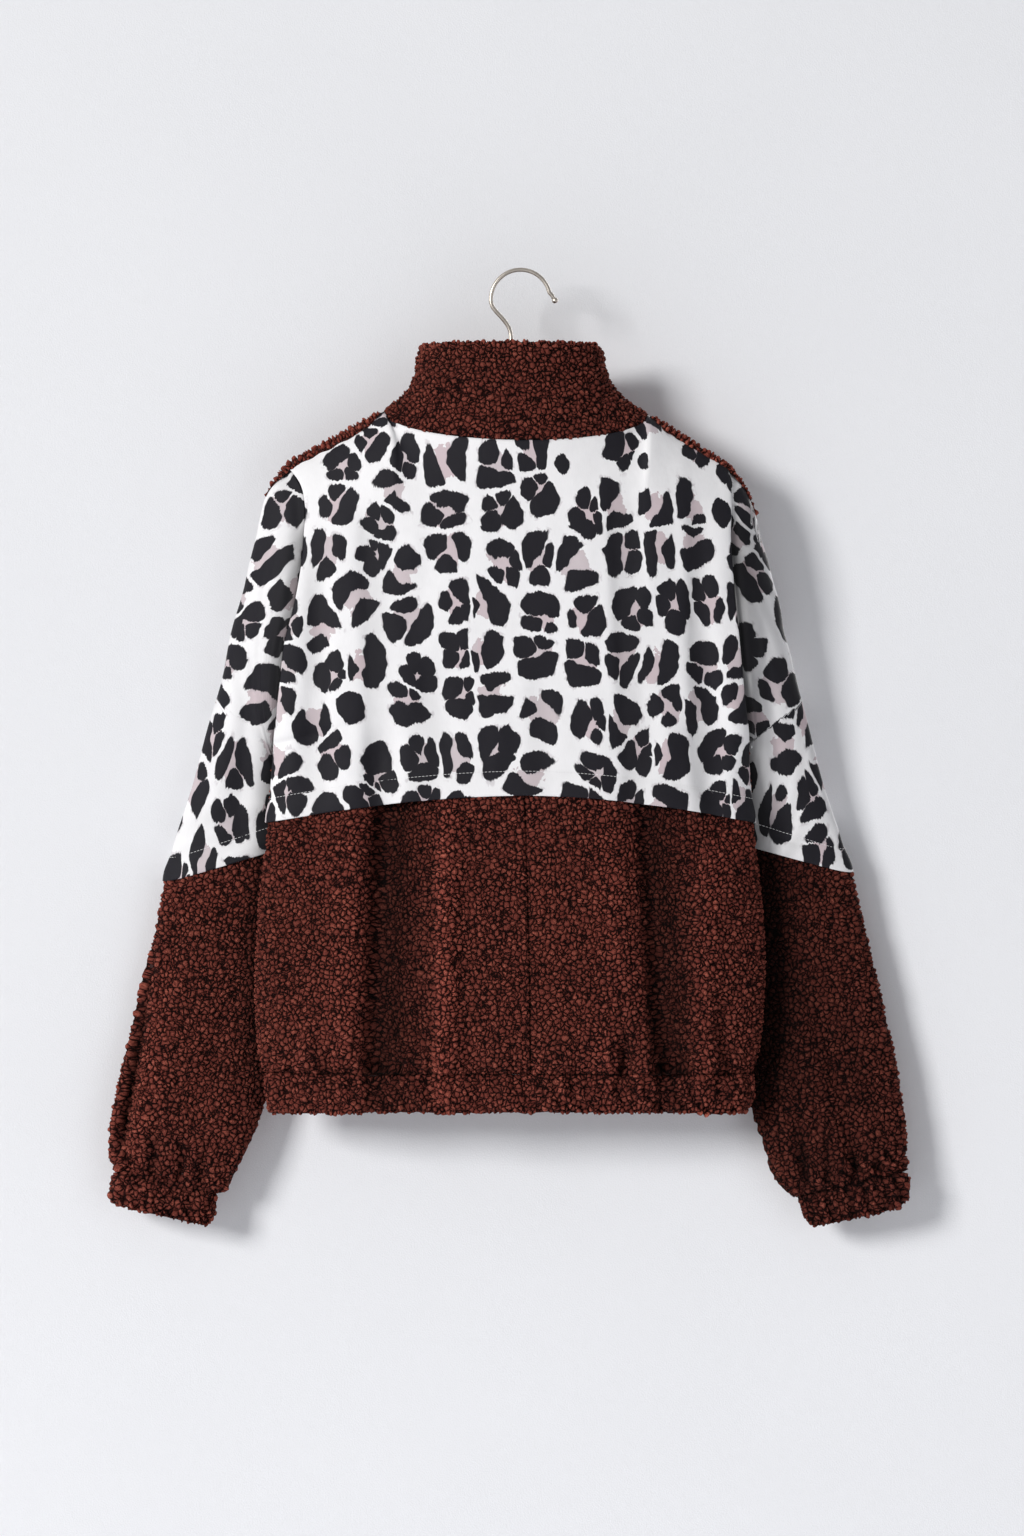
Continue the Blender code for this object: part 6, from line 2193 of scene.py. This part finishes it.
@dataclass
class FrontZip:
    """The closed front zip: tapes, teeth, box, slider and pull tab."""

    shop: Workshop
    sink: float = 6.3
    slider_drop: float = 103.0
    slider_length: float = 13.0
    slider_out: float = 3.4
    slider_half_depth: float = 2.6
    bridge_half: float = 5.25
    bridge_rise: float = 6.0
    # the tab's axis over the slider's face, and the rim of metal round that axis
    axis_rise: float = 2.1
    tab_rim: float = 0.85
    tab_half_depth: float = 0.8
    tab_chamfer: float = 0.5
    # half width, half length
    tab_half: tuple[float, float] = (4.5, 17.0)
    eye_half: tuple[float, float] = (2.5, 4.1)
    teeth_gap: float = 0.3
    box_height: float = 9.0

    def path(self) -> tuple[Array, Array]:
        """The middle line from the collar's top down, and the direction outwards along it."""
        shop, body = self.shop, self.shop.torso
        rise = shop.collar.points(FRONT, LEFT, 0, np.linspace(1, 0, 7))
        downs = [2, 2.12, 2.26, 2.40, 2.54, 2.67, 2.79, 2.88, 2.95, 3, 3.12, 3.55, 4]
        downs = np.r_[np.linspace(0.1, 1, 10), downs]
        line = np.concatenate([rise, body.points(FRONT, LEFT, 0, downs)])
        line[:, 0] = body.zip_x
        run = run_along(line)
        line = read_line(np.linspace(0, run[-1], 30), run, line, np.interp)
        inward = np.cross(unit(np.gradient(line, axis=0)), [1, 0, 0])
        return line + inward * self.sink, -inward

    def stretch(self, low: float, high: float, step: float) -> tuple[Array, Array]:
        """The part of the path between two drops, at an even step."""
        line, outward = self.path()
        wanted = np.linspace(low, high, max(2, int((high - low) / step)))
        drops = -line[:, 2]
        points = read_line(wanted, drops, line)
        return points, unit(read_line(wanted, drops, outward, np.interp))

    def tapes(self, top: float, end: float) -> None:
        """Both tapes, with a thicker beaded inner edge."""
        # reach from the middle, height
        profile = (
            (3.3, -0.45), (3.3, 0.45), (3.7, 0.75), (4.3, 0.75), (4.7, 0.42), (12.2, 0.38),
            (12.5, 0), (12.2, -0.38), (4.7, -0.42), (4.3, -0.6), (3.7, -0.6),
        )
        points, outward = self.stretch(top, end, 3)
        for hand in Hand:
            rings = [[p + (hand * x, 0, 0) + out * y for x, y in profile] for p, out in zip(points, outward)]
            piece = lofted(f"zip_tape_{hand.word}_woven", rings)
            self.shop.settle(piece, "zip_tape", f"zip_tape_{hand.word}", finish=self.shop.tape)
            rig.sheet(piece, flat=(0.01, round((end - top) * MM, 4)), held="hung")

    def chain(self, low: float, high: float) -> None:
        """The rows of teeth, alternately from either side."""
        pieces = []
        for hand in Hand:
            points, outward = self.stretch(low + (1.2 if hand == RIGHT else 0), high, 2)
            points += (hand * 1.15, 0, 0)
            piece = self.shop.line_piece(f"zip_teeth_{hand.word}", points, outward)
            pieces.append(self.shop.teeth.apply(piece, {"Material": self.shop.nickel.material()}))
        for piece in pieces:
            self.shop.settle(piece, "steel", "zip_chain")

    def rounded_box(self, name: str, centre: Array, size: Sequence[float], bevel: float) -> bpy.types.Object:
        """A box with rounded edges at its place."""
        shape = bmesh.new()
        bmesh.ops.create_cube(shape, size=1)
        middle = to_metres(centre)[0]
        for vertex in shape.verts:
            vertex.co = Vector([vertex.co[i] * size[i] * MM + middle[i] for i in range(3)])
        edges = shape.edges[:]
        bmesh.ops.bevel(shape, geom=edges, offset=bevel * MM, segments=4, affect="EDGES", profile=0.6)
        return finished(bpy.data.meshes.new(name), shape)

    def joined(self, name: str, parts: Sequence[bpy.types.Object]) -> bpy.types.Object:
        """One object from several."""
        shape = bmesh.new()
        for part in parts:
            shape.from_mesh(part.data)
            bpy.data.objects.remove(part)
        return finished(bpy.data.meshes.new(name), shape, 40)

    def slider(self, centre: Array) -> None:
        """A shield-shaped slider with its bridge."""
        # height over the middle, half width
        rows = ((6.5, 4.2), (5.6, 5), (3, 5.25), (0, 5), (-3, 4.4), (-5.6, 3.7), (-6.5, 3))
        rings = []
        for height, half in rows:
            round_off = 0.75 if abs(height) > 6 else 1
            y = np.array([-1, -1, -0.7, 0.7, 1, 1, 1, 0.7, -0.7]) * self.slider_half_depth * round_off
            x = np.array([-0.6, 0.6, 1, 1, 0.7, 0, -0.7, -1, -1]) * half
            rings.append(np.stack([x, y + self.slider_out, np.full(9, height)], -1) + centre)
        shell = lofted("slider_body", rings)
        turns = np.linspace(0, np.pi, 25)
        out = self.slider_out + self.slider_half_depth - 1 + self.bridge_rise * np.sin(turns) ** 0.7
        path = np.stack([0 * turns, out, self.bridge_half * np.cos(turns)], -1)
        deep = unit(np.cross([1, 0, 0], unit(np.gradient(path, axis=0))))
        profile = ((-1.6, -0.4), (-1.2, -0.75), (1.2, -0.75), (1.6, -0.4),
                   (1.6, 0.4), (1.2, 0.75), (-1.2, 0.75), (-1.6, 0.4))
        rings = [[centre + p + (x, 0, 0) + d * y for x, y in profile] for p, d in zip(path, deep)]
        piece = self.joined("zip_slider_nickel", [shell, lofted("slider_bridge", rings)])
        self.shop.settle(piece, "steel", "zip_slider", finish=self.shop.nickel)

    def tab(self, centre: Array) -> None:
        """The pull tab with its eye, hanging from the slider's bridge."""
        axis = centre + (0, self.slider_out + self.slider_half_depth + self.axis_rise, 0)
        turns = np.linspace(0, 2 * np.pi, 48, endpoint=False)

        def oval(wide: float, tall: float, x_power: float, z_power: float) -> Array:
            """Half a tab's outline or eye, as reach and height round its middle."""
            x, z = np.cos(turns), np.sin(turns)
            x = wide * np.sign(x) * np.abs(x) ** x_power
            return np.stack([x, tall * np.sign(z) * np.abs(z) ** z_power], -1)

        width, length = self.tab_half
        outer, inner = oval(width, length, 0.5, 0.35), oval(*self.eye_half, 0.4, 0.4)
        low, eye = self.tab_rim - length, -self.tab_rim - self.eye_half[1]
        cut, deep = self.tab_chamfer, self.tab_half_depth
        rings = []
        for ring, middle, shrink, y in (
            (inner, eye, 0, deep), (outer, low, cut, deep), (outer, low, 0, deep / 2),
            (outer, low, 0, -deep / 2), (outer, low, cut, -deep), (inner, eye, 0, -deep),
        ):
            x, z = ring[:, 0] * (1 - shrink / width), ring[:, 1] * (1 - shrink / length)
            rings.append(axis + np.stack([x, 0 * x + y, z + middle], -1))
        points = np.concatenate(rings)
        grid = quads(len(rings) + 1, len(turns), True)
        faces = [tuple(i % len(points) for i in quad) for quad in grid]
        piece = solid("zip_pull_tab_nickel", points, faces, 35)
        self.shop.settle(piece, "steel", "zip_pull_tab", body="pull_tab", finish=self.shop.nickel)

    def build(self) -> None:
        """The whole zip."""
        line, _ = self.path()
        top, end = 3 - line[0, 2], -line[-1, 2] - 1
        self.tapes(top, end)
        first = self.slider_drop + self.slider_length + self.teeth_gap
        self.chain(first, end - self.box_height - self.teeth_gap)
        points, _ = self.stretch(end - self.box_height, end, 2)
        middle = points.mean(axis=0)
        piece = self.rounded_box("zip_box_nickel", middle, (6, 3.6, self.box_height), 0.5)
        self.shop.settle(piece, "steel", "zip_box", finish=self.shop.nickel)
        drops = -line[:, 2]
        at = self.slider_drop + self.slider_length / 2
        centre = np.array([np.interp(at, drops, line[:, i]) for i in range(3)])
        self.slider(centre)
        self.tab(centre)


# ---------------------------------------------------------------- the room


@dataclass
class Studio:
    """The pale wall and floor, the soft light and the camera."""

    wall_y: float = 0.063
    floor_z: float = -1.45
    centre_x: float = -0.0077
    centre_z: float = -0.4487
    view_height: float = 1.3824
    distance: float = 4.2
    half_width: float = 2.6
    wall_top: float = 1.6
    floor_reach: float = 4.5
    sensor: float = 36.0

    def plane(self, name: str, corners: Sequence[Sequence[float]], finish: Finish) -> None:
        """A flat piece of the room, which throws no shadow."""
        mesh = bpy.data.meshes.new(name)
        mesh.from_pydata([tuple(c) for c in corners], [], [(0, 1, 2, 3)])
        mesh.materials.append(finish.material())
        made = new_object(name, mesh)
        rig.stage(made)
        made.visible_shadow = False

    def area_light(self, name: str, place: Sequence[float], target: Sequence[float], size: float,
                   power: float, colour: Colour) -> None:
        """A soft square light."""
        data = bpy.data.lights.new(name, "AREA")
        data.shape, data.size, data.energy, data.color = "SQUARE", size, power, colour
        made = new_object(name, data)
        made.location = place
        made.rotation_mode = "QUATERNION"
        made.rotation_quaternion = (Vector(target) - Vector(place)).to_track_quat("-Z", "Y")

    def build(self) -> None:
        """Sets the room, the lights and the camera."""
        x, y, z, top, far = self.half_width, self.wall_y, self.floor_z, self.wall_top, self.floor_reach
        self.plane("wall", [(-x, y, z), (x, y, z), (x, y, top), (-x, y, top)], PaintedWall())
        corners = [(-x, -far, z), (x, -far, z), (x, far, z), (-x, far, z)]
        self.plane("floor", corners, PaintedWall(title="pale_floor", see_through_back=False))
        target = (self.centre_x, 0, self.centre_z)
        self.area_light("key", (-7.4, -7.9, 2.5), target, 3.1, 935, (1, 0.995, 0.985))
        self.area_light("fill", (2.6, -4.4, -0.4), target, 2.4, 18, (0.95, 0.97, 1))
        self.area_light("behind", (1.8, 4.2, 0.9), target, 1.8, 150, (1, 0.99, 0.98))
        world = bpy.data.worlds.new("pale_room")
        world.use_nodes = True
        background = world.node_tree.nodes["Background"]
        background.inputs[0].default_value = (0.93, 0.94, 0.96, 1)
        background.inputs[1].default_value = 0.275
        bpy.context.scene.world = world
        bpy.context.scene.view_settings.view_transform = "Standard"
        data = bpy.data.cameras.new("view")
        data.sensor_width = self.sensor
        data.lens = self.sensor * self.distance / self.view_height
        data.clip_start, data.clip_end = 0.1, 30
        camera = new_object("view", data)
        camera.location = (self.centre_x, -self.distance - 0.02, self.centre_z)
        camera.rotation_euler = (math.pi / 2, 0, 0)
        bpy.context.scene.camera = camera


def write_sizes() -> None:
    """Writes the solids' box and the dressed model's box."""
    boxes = [[list(corner) for corner in box] for box in (CAD_BOX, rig.bounds())]
    with open("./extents.json", "w") as out:
        json.dump(boxes, out)


def main() -> None:
    """Builds the jacket, its hanger and the room."""
    logging.basicConfig(level=logging.INFO, format="%(message)s")
    torso = TorsoShape()
    shop = Workshop(torso, CollarShape(torso), SleeveShape(torso), NapTree(), StitchTree(), ToothTree())
    Studio().build()
    body = Body(shop)
    body.build()
    Collar(shop).build()
    for hand in Hand:
        Sleeve(shop, hand, body).build()
    Hanger(shop).build()
    FrontZip(shop).build()
    write_sizes()


if __name__ == "__main__":
    main()
